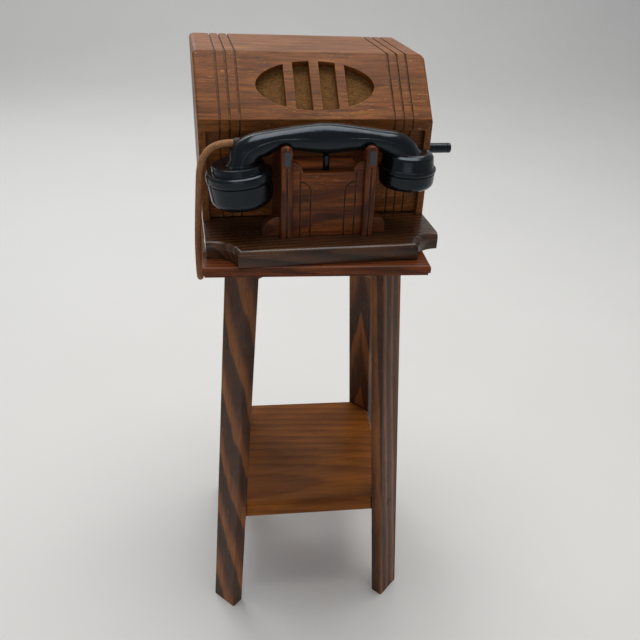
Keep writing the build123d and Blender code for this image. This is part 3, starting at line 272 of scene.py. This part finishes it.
class Look:
    """A wood and its stain: ring colours from early to late wood, how far apart the rings are,
    and how it is varnished, streaked, scratched and worn. Lengths are in metres."""

    def __init__(self, early, middle, late, spacing, wobble=0.5, pores=0.3, varnish=0.5,
                 polish=0.22, contrast=1.0, wear=(0.45, 0.24, 0.11), wear_share=0.5,
                 ripple=0.3, blotch=0.35, scratches=0.0, sheen=0.25, streaks=0.18):
        self.early, self.middle, self.late = early, middle, late
        self.spacing, self.wobble, self.pores = spacing, wobble, pores
        self.varnish, self.polish, self.contrast = varnish, polish, contrast
        self.wear, self.wear_share, self.ripple = wear, wear_share, ripple
        self.blotch, self.scratches, self.sheen = blotch, scratches, sheen
        self.streaks = streaks


def wood(name, look, turn, origin, heart=(0.0, -0.06), taper=0.03, seed=0.0):
    """Timber sawn from a log. turn is the board's own frame: X along the grain, Z out of
    its face. heart is where the log's centre lies across and below the face, and taper how
    fast the rings widen along it, which draws the arches of the grain."""
    f = Finish(name)
    mapping = {"Vector": f.place, "Location": origin, "Rotation": turn.to_euler()}
    local = f.add("Mapping", mapping, vector_type="TEXTURE")
    local_seeded = f.vector("ADD", local, tuple(seed * step for step in SEED_STEP))

    # slow wander of the whole grain, then the rings as distance from the log's centre
    slow = f.noise(f.stretched(local_seeded, WANDER_SCALE), 1.0, 2.0, 0.5, out=1)
    wander = f.stretched(f.vector("SUBTRACT", slow, (0.5, 0.5, 0.5)), (0, WANDER, WANDER))
    shifted = f.vector("ADD", local, f.stretched(wander, (1, look.wobble, look.wobble)))
    along, across, out = f.split(shifted)
    climb = f.math("MULTIPLY", along, taper)
    radial = f.join(0.0, f.math("SUBTRACT", across, heart[0]), f.math("SUBTRACT", out, heart[1]))
    radius = f.math("ADD", f.vector("LENGTH", radial, out="Value"), climb)
    ripple = f.noise(f.stretched(local_seeded, RIPPLE_SCALE), 1.0, 3.0, 0.6)
    count = f.math("ADD", f.math("DIVIDE", radius, look.spacing),
                   f.math("MULTIPLY", ripple, look.ripple))
    share = f.math("FRACT", count)
    late = f.math("SUBTRACT", f.remap(share, 0.12, 0.78, smooth=True),
                  f.remap(share, 0.86, 0.99, smooth=True))
    ring_colour = f.ramp(late, [(0.0, look.early), (0.5, look.middle), (1.0, look.late)])

    # fibres, pores and the stain's blotches
    fibre = f.noise(f.stretched(local_seeded, FIBRE_SCALE), 1.0, 4.0, 0.62)
    fine = f.noise(f.stretched(local_seeded, FINE_FIBRE_SCALE), 1.0, 2.0, 0.5)
    blotch = f.noise(f.stretched(local_seeded, BLOTCH_SCALE), 1.0, 4.0, 0.6, 0.4)
    colour = f.mix(f.remap(fibre, 0.3, 0.72, 0.0, 0.5 * look.contrast), ring_colour, look.late)
    colour = f.mix(f.remap(fine, 0.52, 0.8, 0.0, 0.35 * look.contrast), colour, look.early)
    streak = f.noise(f.stretched(local_seeded, STREAK_SCALE), 1.0, 5.0, 0.72, 0.2)
    shade = f.math("MULTIPLY", f.remap(blotch, 0.3, 0.72, 1.0 - look.blotch, 1.0 + look.blotch),
                   f.remap(streak, 0.36, 0.64, 1.0 - look.streaks, 1.0 + look.streaks))
    colour = f.mix(1.0, colour, f.join(shade, shade, shade), "MULTIPLY")
    pore_field = f.noise(f.stretched(local_seeded, PORE_SCALE), 1.0, 1.0, 0.4)
    pore = f.remap(pore_field, 0.66, 0.74, 0.0, look.pores)
    dark = f.mix(1.0, colour, PORE_TINT, "MULTIPLY")
    colour = f.mix(pore, colour, dark)

    # scratches and scuffs through the varnish
    scuff_noise = f.noise(f.stretched(local_seeded, SCUFF_SCALE), 1.0, 3.0, 0.7, 1.2)
    scuff_patch = f.noise(f.stretched(local_seeded, SCUFFED_PATCH_SCALE), 1.0, 1.0, 0.5)
    scuff = f.math("MULTIPLY", f.remap(scuff_noise, 0.59, 0.66),
                   f.remap(scuff_patch, 0.46, 0.62), clamp=True)
    scuff = f.math("MULTIPLY", scuff, look.scratches)
    colour = f.mix(scuff, colour, look.wear)

    # worn arrises show lighter wood
    breakup = f.remap(f.noise(local_seeded, CHIPS_PER_METRE, 4.0, 0.7), 0.36, 0.6, 0.15, 1.0)
    worn = f.math("MULTIPLY", f.worn_edges(WORN_ARRIS, breakup), look.wear_share)
    colour = f.mix(worn, colour, look.wear)

    # grime and painted shade: saw cuts, grooves and joints darkened where ambient occlusion finds them
    # closed in
    open_sky = f.add("AmbientOcclusion", {"Distance": CREVICE}, out=1, samples=8)
    grime_and_shade = f.remap(open_sky, 0.25, 0.8, 0.85, 0.0)
    colour = f.mix(grime_and_shade, colour, CREVICE_GRIME_AND_SHADE)

    # relief: fibres, pores and a soft unevenness of the brushed varnish
    brushed = f.noise(f.stretched(local_seeded, BRUSHED_SCALE), 1.0, 2.0, 0.5)
    relief = f.math("ADD", f.math("MULTIPLY", fibre, 0.35), f.math("MULTIPLY", brushed, 0.9))
    relief = f.math("SUBTRACT", relief, f.math("MULTIPLY", pore, 0.5))
    relief = f.math("ADD", relief, f.math("MULTIPLY", late, 0.12))
    rounded = f.add("Bevel", {"Radius": ARRIS_ROUND}, samples=6)
    normal = f.bump(relief, GRAIN_DEPTH, rounded, 0.55)
    rough = f.remap(blotch, 0.3, 0.7, look.polish + 0.16, look.polish + 0.02)
    rough = f.math("ADD", rough, f.math("MULTIPLY", f.math("ADD", worn, scuff), 0.3), clamp=True)
    coat_rough = f.remap(brushed, 0.3, 0.7, look.polish * 0.55, look.polish * 1.1)
    return f.finish(Base_Color=colour, Roughness=rough, Normal=normal, Coat_Weight=look.varnish,
                    Specular_IOR_Level=look.sheen, Coat_Roughness=coat_rough,
                    Coat_Normal=f.bump(brushed, BRUSHED_DEPTH, rounded, 0.5))


def board_frame(along, out):
    """The frame of a board: X along its grain, Z out of its face."""
    x = Vector(along).normalized()
    z = Vector(out).normalized()
    return Matrix((x, z.cross(x), z)).transposed()


def turned(vector, angle):
    """A vector turned about the upright axis."""
    return Matrix.Rotation(angle, 3, "Z") @ Vector(vector)


def middle(node):
    """The middle of a part's box."""
    low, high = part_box(node)
    return (low + high) / 2


def dress(node, material):
    """Gives one of the frame's parts its finish, in every material slot that it has."""
    mesh = nodes[node].data
    if not mesh.materials:
        mesh.materials.append(None)
    for slot in nodes[node].material_slots:
        slot.link = "OBJECT"
        slot.material = material


CABINET = Look(early=(0.240, 0.082, 0.017), middle=(0.215, 0.070, 0.014), late=(0.170, 0.052, 0.010),
               spacing=0.0085, wobble=0.7, pores=0.6, varnish=0.12, polish=0.34, contrast=1.0,
               wear=(0.50, 0.24, 0.09), wear_share=0.6, ripple=0.7, blotch=0.28, scratches=0.8,
               sheen=0.18, streaks=0.45)
TRAY = Look(early=(0.088, 0.034, 0.012), middle=(0.062, 0.024, 0.009), late=(0.030, 0.012, 0.006),
            spacing=0.006, pores=0.4, varnish=0.3, polish=0.2, contrast=0.8,
            wear=(0.19, 0.10, 0.05), wear_share=0.6, blotch=0.35, scratches=0.4)
STAND = Look(early=(0.175, 0.042, 0.009), middle=(0.130, 0.030, 0.007), late=(0.070, 0.017, 0.005),
             spacing=0.0058, pores=0.25, varnish=0.12, polish=0.32, contrast=0.8,
             wear=(0.40, 0.16, 0.05), wear_share=0.45, blotch=0.28, scratches=0.25, sheen=0.15,
             streaks=0.3)
SHELF = Look(early=(0.245, 0.076, 0.009), middle=(0.215, 0.065, 0.008), late=(0.165, 0.047, 0.006),
             spacing=0.012, pores=0.2, varnish=0.06, polish=0.36, contrast=0.8,
             wear=(0.38, 0.17, 0.045), wear_share=0.35, blotch=0.3, scratches=0.25, sheen=0.09)
LEG = Look(early=(0.032, 0.014, 0.008), middle=(0.066, 0.023, 0.009), late=(0.23, 0.076, 0.018),
           spacing=0.0115, wobble=0.9, pores=0.2, varnish=0.15, polish=0.32, contrast=0.6,
           wear=(0.42, 0.19, 0.07), wear_share=0.55, ripple=0.35, blotch=0.35, scratches=0.3,
           sheen=0.15, streaks=0.25)
BROAD_LEG = Look(early=(0.030, 0.013, 0.008), middle=(0.060, 0.021, 0.009), late=(0.23, 0.078, 0.019),
                 spacing=0.026, wobble=1.1, pores=0.2, varnish=0.15, polish=0.32, contrast=0.6,
                 wear=(0.42, 0.19, 0.07), wear_share=0.55, ripple=0.35, blotch=0.35, scratches=0.3,
                 sheen=0.15, streaks=0.25)
CRADLE = Look(early=(0.155, 0.040, 0.010), middle=(0.110, 0.028, 0.007), late=(0.055, 0.014, 0.005),
              spacing=0.0048, pores=0.4, varnish=0.15, polish=0.30, contrast=0.8,
              wear=(0.44, 0.20, 0.08), wear_share=0.85, blotch=0.28, scratches=0.5, sheen=0.18)
PANEL = Look(early=(0.210, 0.058, 0.011), middle=(0.165, 0.044, 0.008), late=(0.085, 0.020, 0.006),
             spacing=0.0042, wobble=0.5, pores=0.4, varnish=0.15, polish=0.30, contrast=1.0,
             wear=(0.42, 0.20, 0.08), wear_share=0.6, ripple=0.6, blotch=0.3, scratches=0.8, sheen=0.15,
             streaks=0.45)
PLAIN = Look(early=(0.30, 0.17, 0.085), middle=(0.24, 0.13, 0.06), late=(0.17, 0.085, 0.04),
             spacing=0.004, pores=0.2, varnish=0.0, polish=0.55, contrast=0.6,
             wear=(0.4, 0.25, 0.14), wear_share=0.3, blotch=0.2)


def dress_wood():
    """Each wooden part's look, grain direction, and where its log's centre was."""
    level = board_frame((1, 0, 0), (0, 0, 1))
    upright = board_frame((1, 0, 0), (0, -1, 0))
    slope = board_frame((1, 0, 0), (0, -math.sin(SLOPE_TILT), math.cos(SLOPE_TILT)))
    stand_level = board_frame(turned((1, 0, 0), STAND_TURN), (0, 0, 1))
    rising = board_frame((0, 0, 1), (0, -1, 0))
    side = board_frame((0, 1, 0), (1, 0, 0))
    boards = (
        ("slope_board", CABINET, slope, (0.02, -0.08), 0.05),
        ("top_board", CABINET, level, (-0.03, -0.05), 0.05),
        ("side_left", CABINET, side, (0.02, -0.09), 0.04),
        ("side_right", CABINET, side, (-0.02, -0.08), 0.05),
        ("lower_panel", CABINET, upright, (0.01, -0.07), 0.06),
        ("back_panel", CABINET, upright, (0.03, 0.09), 0.05),
        ("tray_board", TRAY, level, (0.03, -0.07), 0.06),
        ("stand_top", STAND, stand_level, (0.04, -0.05), 0.05),
        ("stand_shelf", SHELF, stand_level, (-0.07, -0.035), 0.07),
        ("cradle_ear_left", CRADLE, rising, (0.01, -0.03), 0.08),
        ("cradle_ear_right", CRADLE, rising, (-0.01, -0.03), 0.08),
        ("cradle_brackets", CRADLE, upright, (0.0, -0.05), 0.08),
        ("cradle_panel", PANEL, upright, (0.02, -0.22), 0.02),
        ("cradle_plate", CRADLE, level, (0.0, -0.06), 0.05),
        ("glue_blocks", PLAIN, level, (0.0, -0.06), 0.05),
        ("corner_blocks", PLAIN, rising, (0.0, -0.06), 0.05),
        ("leg_plugs", LEG, rising, (0.0, -0.02), 0.05),
    )
    for number, (node, look, turn, heart, taper) in enumerate(boards):
        material = wood("wood_" + node, look, turn, middle(node), heart, taper, seed=number * 0.37)
        dress(node, material)
    dress_legs()


LEG_SPLAY = 0.0437            # how far each leg's foot stands out past its top
LEG_CORNERS = ("rear_right", "rear_left", "front_left", "front_right")
LEG_GRAIN = {                 # each leg's look, heart and taper
    "rear_right": (BROAD_LEG, (0.004, -0.006), 0.20),
    "rear_left": (BROAD_LEG, (-0.01, -0.004), 0.18),
    "front_left": (BROAD_LEG, (-0.020, -0.012), -0.28),
    "front_right": (LEG, (0.06, -0.03), 0.015),
}


def dress_legs():
    """Each leg's grain runs up the leaning leg, with its face turned outward."""
    for number, corner in enumerate(LEG_CORNERS):
        node = "stand_leg_" + corner
        low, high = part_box(node)
        angle = math.radians(45 + 90 * number) + STAND_TURN
        outward = Vector((math.cos(angle), math.sin(angle), 0))
        rise = Vector((0, 0, high.z - low.z))
        along = (rise - outward * LEG_SPLAY).normalized()
        out = (outward - along * outward.dot(along)).normalized()
        look, heart, taper = LEG_GRAIN[corner]
        material = wood("wood_" + node, look, board_frame(along, out), middle(node), heart, taper,
                        seed=4.1 + number)
        dress(node, material)


# ---------------------------------------------------------------- other finishes
def phenolic():
    """Old black moulded resin: glossy, with faint polish haze, dust and fine scratches."""
    f = Finish("black_phenolic")
    haze = f.noise(f.place, 55.0, 4.0, 0.6)
    handled = f.noise(f.place, 24.0, 3.0, 0.55, 0.6)
    hair = f.noise(f.stretched(f.place, (60, 900, 900)), 1.0, 3.0, 0.75, 0.8)
    scratch = f.remap(hair, 0.62, 0.7)
    speck = f.remap(f.cells(f.place, 420.0), 0.0, 0.16, 1.0, 0.0)
    colour = f.mix(f.remap(handled, 0.35, 0.7), (0.0022, 0.0026, 0.0034), (0.0050, 0.0058, 0.0072))
    colour = f.mix(f.math("MULTIPLY", speck, 0.25), colour, (0.03, 0.028, 0.026))
    worn = f.worn_edges(0.0012, f.remap(haze, 0.4, 0.6, 0.2, 1.0))
    colour = f.mix(f.math("MULTIPLY", worn, 0.4), colour, (0.05, 0.045, 0.042))
    rough = f.remap(haze, 0.3, 0.7, 0.13, 0.27)
    rough = f.math("ADD", rough, f.math("MULTIPLY", f.math("ADD", scratch, worn), 0.1), clamp=True)
    rounded = f.add("Bevel", {"Radius": 0.0005}, samples=6)
    height = f.math("ADD", f.math("MULTIPLY", haze, 0.5), f.math("MULTIPLY", scratch, -0.25))
    # the bluish specular tint is a painted reflection colour, standing for a cool sky mirrored in the
    # resin
    return f.finish(Base_Color=colour, Roughness=rough, Specular_IOR_Level=0.42,
                    Specular_Tint=(0.72, 0.86, 1.0),
                    Normal=f.bump(height, 0.00012, rounded, 0.4))


def rubber():
    """Old rubber with a grey bloom."""
    f = Finish("black_rubber")
    grain = f.noise(f.place, 900.0, 3.0, 0.6)
    bloom = f.noise(f.place, 60.0, 4.0, 0.6)
    colour = f.mix(f.remap(bloom, 0.4, 0.7), (0.012, 0.012, 0.012), (0.04, 0.036, 0.032))
    return f.finish(Base_Color=colour, Roughness=f.remap(bloom, 0.3, 0.7, 0.5, 0.75),
                    Normal=f.bump(grain, 0.0002, strength=0.5))


def metal(name, clean, dull, rough=0.28, tarnish=0.5, metallic=1.0):
    """Worn metal: clean and tarnished patches, hairlines and brighter rubbed edges."""
    f = Finish(name)
    patch = f.remap(f.noise(f.place, 70.0, 5.0, 0.62, 0.5), 0.38, 0.66)
    hair = f.noise(f.stretched(f.place, (150, 150, 2600)), 1.0, 3.0, 0.6)
    colour = f.mix(f.math("MULTIPLY", patch, tarnish), clean, dull)
    colour = f.mix(f.math("MULTIPLY", f.remap(hair, 0.4, 0.7), 0.15), colour, dull)
    worn = f.worn_edges(0.0006, f.remap(patch, 0.0, 1.0, 0.5, 1.0))
    colour = f.mix(f.math("MULTIPLY", worn, 0.5), colour, clean)
    spread = f.remap(patch, 0.0, 1.0, rough, rough + 0.28)
    rounded = f.add("Bevel", {"Radius": 0.0003}, samples=4)
    return f.finish(Base_Color=colour, Metallic=metallic, Roughness=spread,
                    Normal=f.bump(hair, 0.00006, rounded, 0.4))


WIRE_PITCH = 0.0006           # from one turn of wire to the next


def winding():
    """Fine enamelled wire wound side by side under a varnished cotton lap."""
    f = Finish("enamelled_winding")
    along = f.split(f.place)[0]
    turns = f.math("SINE", f.math("MULTIPLY", along, 2 * math.pi / WIRE_PITCH))
    patch = f.noise(f.place, 120.0, 3.0, 0.6)
    colour = f.mix(f.remap(patch, 0.35, 0.65), (0.10, 0.035, 0.012), (0.045, 0.016, 0.008))
    return f.finish(Base_Color=colour, Roughness=0.42, Coat_Weight=0.3,
                    Normal=f.bump(turns, 0.0001, strength=0.6))


def inlay():
    """Dark blue-grey stained strip, rubbed smooth."""
    f = Finish("dark_inlay")
    fibre = f.noise(f.stretched(f.place, (900, 900, 30)), 1.0, 3.0, 0.6)
    patch = f.noise(f.place, 90.0, 3.0, 0.6)
    colour = f.mix(f.remap(fibre, 0.35, 0.7), (0.022, 0.028, 0.036), (0.060, 0.070, 0.085))
    return f.finish(Base_Color=colour, Roughness=f.remap(patch, 0.3, 0.7, 0.3, 0.5),
                    Normal=f.bump(fibre, 0.0001, strength=0.5))


def dress_other():
    """Resin, rubber, metal and winding finishes, and the parts that have each."""
    black = phenolic()
    nickel = metal("worn_nickel", (0.62, 0.60, 0.55), (0.22, 0.19, 0.15))
    steel = metal("bright_steel", (0.50, 0.50, 0.50), (0.14, 0.12, 0.10), 0.32, 0.6)
    brass = metal("aged_brass", (0.62, 0.43, 0.16), (0.22, 0.12, 0.045), 0.3, 0.7)
    bell = metal("bell_metal", (0.66, 0.62, 0.52), (0.30, 0.24, 0.14), 0.24, 0.5)
    iron = metal("soft_iron", (0.20, 0.19, 0.18), (0.06, 0.045, 0.035), 0.45, 0.8)
    magnet = metal("magnet_steel", (0.12, 0.12, 0.13), (0.045, 0.035, 0.03), 0.5, 0.6, 0.8)
    can = metal("tinned_can", (0.46, 0.46, 0.44), (0.22, 0.20, 0.16), 0.4, 0.6)
    aluminium = metal("capsule_aluminium", (0.62, 0.62, 0.63), (0.36, 0.35, 0.34), 0.34, 0.5)
    wire = winding()
    groups = {
        black: ("handset_handle", "transmitter_cap", "receiver_cap", "hook_plunger", "crank_knob",
                "terminal_strip"),
        rubber(): ("handset_grommet", "cord_bushing"),
        inlay(): ("ear_inlays",),
        nickel: ("crank_arm", "crank_bush", "crank_shaft", "knob_pin"),
        steel: ("stand_screws", "cabinet_screws", "back_screws", "cloth_tacks", "plunger_spring",
                "magneto_frame"),
        brass: ("switch_bracket", "hook_contacts", "crank_gear", "armature_pinion", "gong_fixings",
                "clapper"),
        bell: ("gongs",),
        iron: ("pole_pieces", "armature", "ringer_yoke"),
        magnet: ("magneto_magnets",),
        can: ("condenser",),
        aluminium: ("transmitter_capsule", "receiver_capsule"),
        wire: ("ringer_coils", "induction_coil"),
    }
    for material, members in groups.items():
        for node in members:
            dress(node, material)
    dress("cloth_frame", wood("wood_cloth_frame", PLAIN, board_frame((1, 0, 0), (0, -0.7, 0.7)),
                              middle("cloth_frame")))


# ---------------------------------------------------------------- handset cord
CORD_DIAMETER = 0.0066
CORD_ROUTE = (                # control points of the cord's line, from the handset to the back
    (-0.1023, -0.0608, 0.5982), (-0.1133, -0.0608, 0.5982), (-0.1268, -0.0608, 0.5917),
    (-0.1346, -0.0610, 0.5772), (-0.1364, -0.0614, 0.5572), (-0.1388, -0.0620, 0.5272),
    (-0.1408, -0.0614, 0.4962), (-0.1411, -0.0588, 0.4642), (-0.1401, -0.0398, 0.4457),
    (-0.1378, -0.0058, 0.4432), (-0.1358, 0.0402, 0.4467), (-0.1343, 0.0842, 0.4532),
    (-0.1323, 0.1242, 0.4652), (-0.1253, 0.1522, 0.4842), (-0.1148, 0.1642, 0.5052),
    (-0.1048, 0.1637, 0.5242), (-0.0993, 0.1512, 0.5362), (-0.0993, 0.1352, 0.5362))
CORD_SMOOTHNESS = 40          # line pieces between two control points
PALER_FROM, PALER_TO = 0.50, 0.60   # heights between which the braid turns paler
STRANDS = 8                   # strands of the braid that run each way
BRAID_PITCH = 0.018           # length in which one strand goes once round
BRAID_RELIEF = 0.00042
STRAND_CROWN, STRAND_ARCH = 0.75, 0.25    # shares of the relief: across a strand, and along it
CELL_STEPS = 3                # mesh steps in each strand crossing
CROSSING_START = 0.25 / CELL_STEPS    # keeps mesh points off the strands' edges
WHOLE_TURNS = 1000            # keeps the second strand count above zero


def braid_height(a, b):
    """Height of the braid's surface where strand counts are a one way and b the other."""
    over = (math.floor(a) + math.floor(b)) % 2 == 0
    top, side = (a, b) if over else (b, a)
    across = 2 * (top - math.floor(top)) - 1
    lengthwise = 2 * (side - math.floor(side)) - 1
    crown = (1 - across * across) ** 0.5
    return STRAND_CROWN * crown + STRAND_ARCH * (1 - lengthwise * lengthwise)


def braid(material):
    """The handset's cord: a closed tube whose surface rises and dips as two sets of strands cross."""
    line = spline_points(CORD_ROUTE, CORD_SMOOTHNESS)
    step = BRAID_PITCH / (2 * STRANDS) / CELL_STEPS
    points, length = evenly(line, step)
    directions = frames_along(points)
    around = 2 * STRANDS * CELL_STEPS
    core = CORD_DIAMETER / 2 - BRAID_RELIEF
    vertices, places = [], []
    for ring, (point, (_, across, lift)) in enumerate(zip(points, directions)):
        run = length * ring / (len(points) - 1)
        for number in range(around):
            share = number / around
            a = STRANDS * (share + run / BRAID_PITCH) + CROSSING_START
            b = STRANDS * (share - run / BRAID_PITCH) + WHOLE_TURNS + CROSSING_START
            radius = core + BRAID_RELIEF * braid_height(a, b)
            angle = 2 * math.pi * share
            vertices.append(point + (across * math.cos(angle) + lift * math.sin(angle)) * radius)
            places.append((share, run / BRAID_PITCH))
    rings = len(points)
    faces = [(r * around + n, r * around + (n + 1) % around,
              (r + 1) * around + (n + 1) % around, (r + 1) * around + n)
             for r in range(rings - 1) for n in range(around)]
    faces.append(tuple(reversed(range(around))))
    faces.append(tuple((rings - 1) * around + n for n in range(around)))
    cord = new_piece("handset_cord_braid", vertices, faces)
    layer = cord.data.uv_layers.new(name="braid")
    for loop in cord.data.loops:
        layer.data[loop.index].uv = places[loop.vertex_index]
    cord.data.materials.append(material)
    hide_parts("handset_cord")
    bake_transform(cord)


def cord_finish():
    """Brown cotton braid, paler higher up, between two heights."""
    f = Finish("cotton_braid")
    fuzz = f.noise(f.place, 2400.0, 3.0, 0.7)
    yarn = f.noise(f.place, 700.0, 2.0, 0.5)
    height = f.split(f.place)[2]
    rubbed = f.remap(height, PALER_FROM, PALER_TO, smooth=True)
    brown = f.mix(rubbed, (0.30, 0.110, 0.030), (0.42, 0.20, 0.080))
    dark = f.mix(1.0, brown, (0.5, 0.45, 0.42), "MULTIPLY")
    colour = f.mix(f.remap(yarn, 0.35, 0.7), brown, dark)
    colour = f.mix(f.remap(fuzz, 0.5, 0.75, 0.0, 0.35), colour, (0.34, 0.22, 0.14))
    return f.finish(Base_Color=colour, Roughness=0.86, Sheen_Weight=0.08, Sheen_Roughness=0.5,
                    Normal=f.bump(fuzz, 0.00025, strength=0.6))


# ---------------------------------------------------------------- speaker cloth
WEAVE_PITCH = 0.00125         # from one thread to the next
WEAVE_RELIEF = 0.00022
CROSSING_LIFT, ROW_LIFT = 0.5, 0.3    # shares of the relief: at each crossing, and along each row
WEAVE_STEPS = 4               # mesh steps in each thread
CLOTH_THICK = 0.0008
CLOTH_EASE = 0.0006           # how much smaller the sheet is than its room
WAVES = ((290.0, 0.28), (121.0, 0.2))     # the weft's waves: radians per metre, height in rows
WAVE_PHASE, DYE_PHASE = 1.3, 0.5      # the dyed lines run a little out of step with the threads


def weave(material):
    """A woven sheet under the slope board: threads over and under, with a slow waviness."""
    low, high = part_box("grille_cloth")
    centre = (low + high) / 2
    width = high.x - low.x - CLOTH_EASE
    up = Vector((0, math.cos(SLOPE_TILT), math.sin(SLOPE_TILT)))
    out = Vector((0, -math.sin(SLOPE_TILT), math.cos(SLOPE_TILT)))
    reach = high - low
    height = (reach.z - CLOTH_THICK * math.cos(SLOPE_TILT)) / math.sin(SLOPE_TILT) - CLOTH_EASE
    step = WEAVE_PITCH / WEAVE_STEPS
    columns, rows = round(width / step), round(height / step)
    (fast, fast_height), (slow, slow_height) = WAVES
    vertices, faces = [], []
    for side in (1, -1):
        for row in range(rows + 1):
            for column in range(columns + 1):
                x = width * (column / columns - 0.5)
                y = height * (row / rows - 0.5)
                wave = fast_height * math.sin(x * fast) + slow_height * math.sin(x * slow + WAVE_PHASE)
                a = x / WEAVE_PITCH
                b = y / WEAVE_PITCH + wave
                lift = math.sin(math.pi * a) * math.sin(math.pi * b)
                rise = WEAVE_RELIEF * (CROSSING_LIFT * lift + ROW_LIFT * math.cos(2 * math.pi * b))
                depth = side * (CLOTH_THICK / 2 - WEAVE_RELIEF * 1.1) + rise
                vertices.append(centre + Vector((x, 0, 0)) + up * y + out * depth)
    line = columns + 1
    sheet_size = line * (rows + 1)
    for row in range(rows):
        for column in range(columns):
            a = row * line + column
            faces.append((a, a + 1, a + line + 1, a + line))
            b = sheet_size + a
            faces.append((b, b + line, b + line + 1, b + 1))
    rim = (list(range(line)) + [r * line + columns for r in range(1, rows + 1)]
           + [rows * line + n for n in range(columns - 1, -1, -1)]
           + [r * line for r in range(rows - 1, 0, -1)])
    for a, b in zip(rim, rim[1:] + rim[:1]):
        faces.append((b, a, a + sheet_size, b + sheet_size))
    cloth = new_piece("speaker_cloth", vertices, faces)
    cloth.data.materials.append(material)
    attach(cloth, "telephone")
    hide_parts("grille_cloth")


def cloth_finish():
    """Brown and gold speaker cloth: gold weft lines over a dark warp."""
    f = Finish("speaker_cloth")
    mapping = {"Vector": f.place, "Location": middle("grille_cloth"), "Rotation": (SLOPE_TILT, 0, 0)}
    x, y, _ = f.split(f.add("Mapping", mapping, vector_type="TEXTURE"))
    (fast, fast_height), (slow, slow_height) = WAVES
    wave_a = f.math("MULTIPLY", f.math("SINE", f.math("MULTIPLY", x, fast)), fast_height)
    slow_turn = f.add("Math", {0: x, 1: slow, 2: DYE_PHASE}, operation="MULTIPLY_ADD")
    wave_b = f.math("MULTIPLY", f.math("SINE", slow_turn), slow_height)
    row = f.math("ADD", f.math("DIVIDE", y, WEAVE_PITCH), f.math("ADD", wave_a, wave_b))
    line = f.math("COSINE", f.math("MULTIPLY", row, 2 * math.pi))
    slub = f.noise(f.stretched(f.place, (260, 1400, 1400)), 1.0, 3.0, 0.6)
    patch = f.noise(f.place, 60.0, 3.0, 0.6)
    share = f.remap(f.math("ADD", line, f.remap(slub, 0.3, 0.7, -0.9, 0.9)), -0.9, 1.1)
    colour = f.mix(share, (0.026, 0.010, 0.003), (0.36, 0.17, 0.045))
    colour = f.mix(f.remap(patch, 0.35, 0.7, 0.0, 0.45), colour, (0.11, 0.05, 0.02))
    return f.finish(Base_Color=colour, Roughness=0.8, Sheen_Weight=0.05, Specular_IOR_Level=0.15,
                    Normal=f.bump(slub, 0.00015, strength=0.5))


# ---------------------------------------------------------------- stage and light
STAGE_HALF, STAGE_BACK, STAGE_RISE, STAGE_BEND = 6.0, 3.0, 5.0, 1.6
STAGE_BEND_STEPS = 16


def make_stage():
    """A pale paper sweep: flat under the object, curving up into a wall well behind it."""
    profile = [(-STAGE_HALF, 0.0), (STAGE_BACK, 0.0)]
    for step in range(1, STAGE_BEND_STEPS + 1):
        angle = math.pi / 2 * step / STAGE_BEND_STEPS
        profile.append((STAGE_BACK + STAGE_BEND * math.sin(angle), STAGE_BEND * (1 - math.cos(angle))))
    profile.append((STAGE_BACK + STAGE_BEND, STAGE_RISE))
    vertices = [(x, y, z) for y, z in profile for x in (-STAGE_HALF, STAGE_HALF)]
    faces = [(2 * n, 2 * n + 1, 2 * n + 3, 2 * n + 2) for n in range(len(profile) - 1)]
    sweep = new_piece("stage_sweep", vertices, faces)
    f = Finish("stage_paper")
    tone = f.noise(f.place, 3.0, 3.0, 0.5)
    colour = f.mix(tone, (0.74, 0.74, 0.73), (0.78, 0.78, 0.77))
    sweep.data.materials.append(f.finish(Base_Color=colour, Roughness=0.9, Specular_IOR_Level=0.1))
    world = bpy.data.worlds.new("studio")
    world.use_nodes = True
    background = world.node_tree.nodes["Background"]
    background.inputs["Color"].default_value = (0.95, 0.97, 1.0, 1)
    background.inputs["Strength"].default_value = 0.3
    bpy.context.scene.world = world
    bpy.context.scene.view_settings.view_transform = "Standard"


def area_light(name, place, aim, size, watts, colour):
    """A rectangular lamp at a place, aimed at a point."""
    data = bpy.data.lights.new(name, "AREA")
    data.shape = "RECTANGLE"
    data.size, data.size_y = size
    data.energy = watts
    data.color = colour
    light = bpy.data.objects.new(name, data)
    light.location = place
    light.rotation_euler = (Vector(aim) - Vector(place)).to_track_quat("-Z", "Y").to_euler()
    bpy.context.scene.collection.objects.link(light)


def make_lights():
    """A soft ceiling, a window behind on the left, light on the paper behind, and a weak fill."""
    area_light("overhead", (0.1, 0.25, 2.6), (0, 0, 0.3), (1.8, 1.4), 38, (1.0, 0.97, 0.93))
    area_light("window", (-0.9, 2.1, 2.0), (0, 0.1, 0.6), (1.2, 1.0), 12, (0.93, 0.97, 1.0))
    area_light("backdrop", (0.3, 3.3, 3.6), (0.3, 3.5, 0), (4.0, 1.2), 34, (1.0, 0.99, 0.97))
    area_light("fill", (-0.5, -2.2, 0.9), (0, 0, 0.35), (1.4, 1.0), 4, (1.0, 0.98, 0.96))


# ---------------------------------------------------------------- assembly
make_camera()
braid(cord_finish())
weave(cloth_finish())
dress_wood()
dress_other()
make_stage()
make_lights()
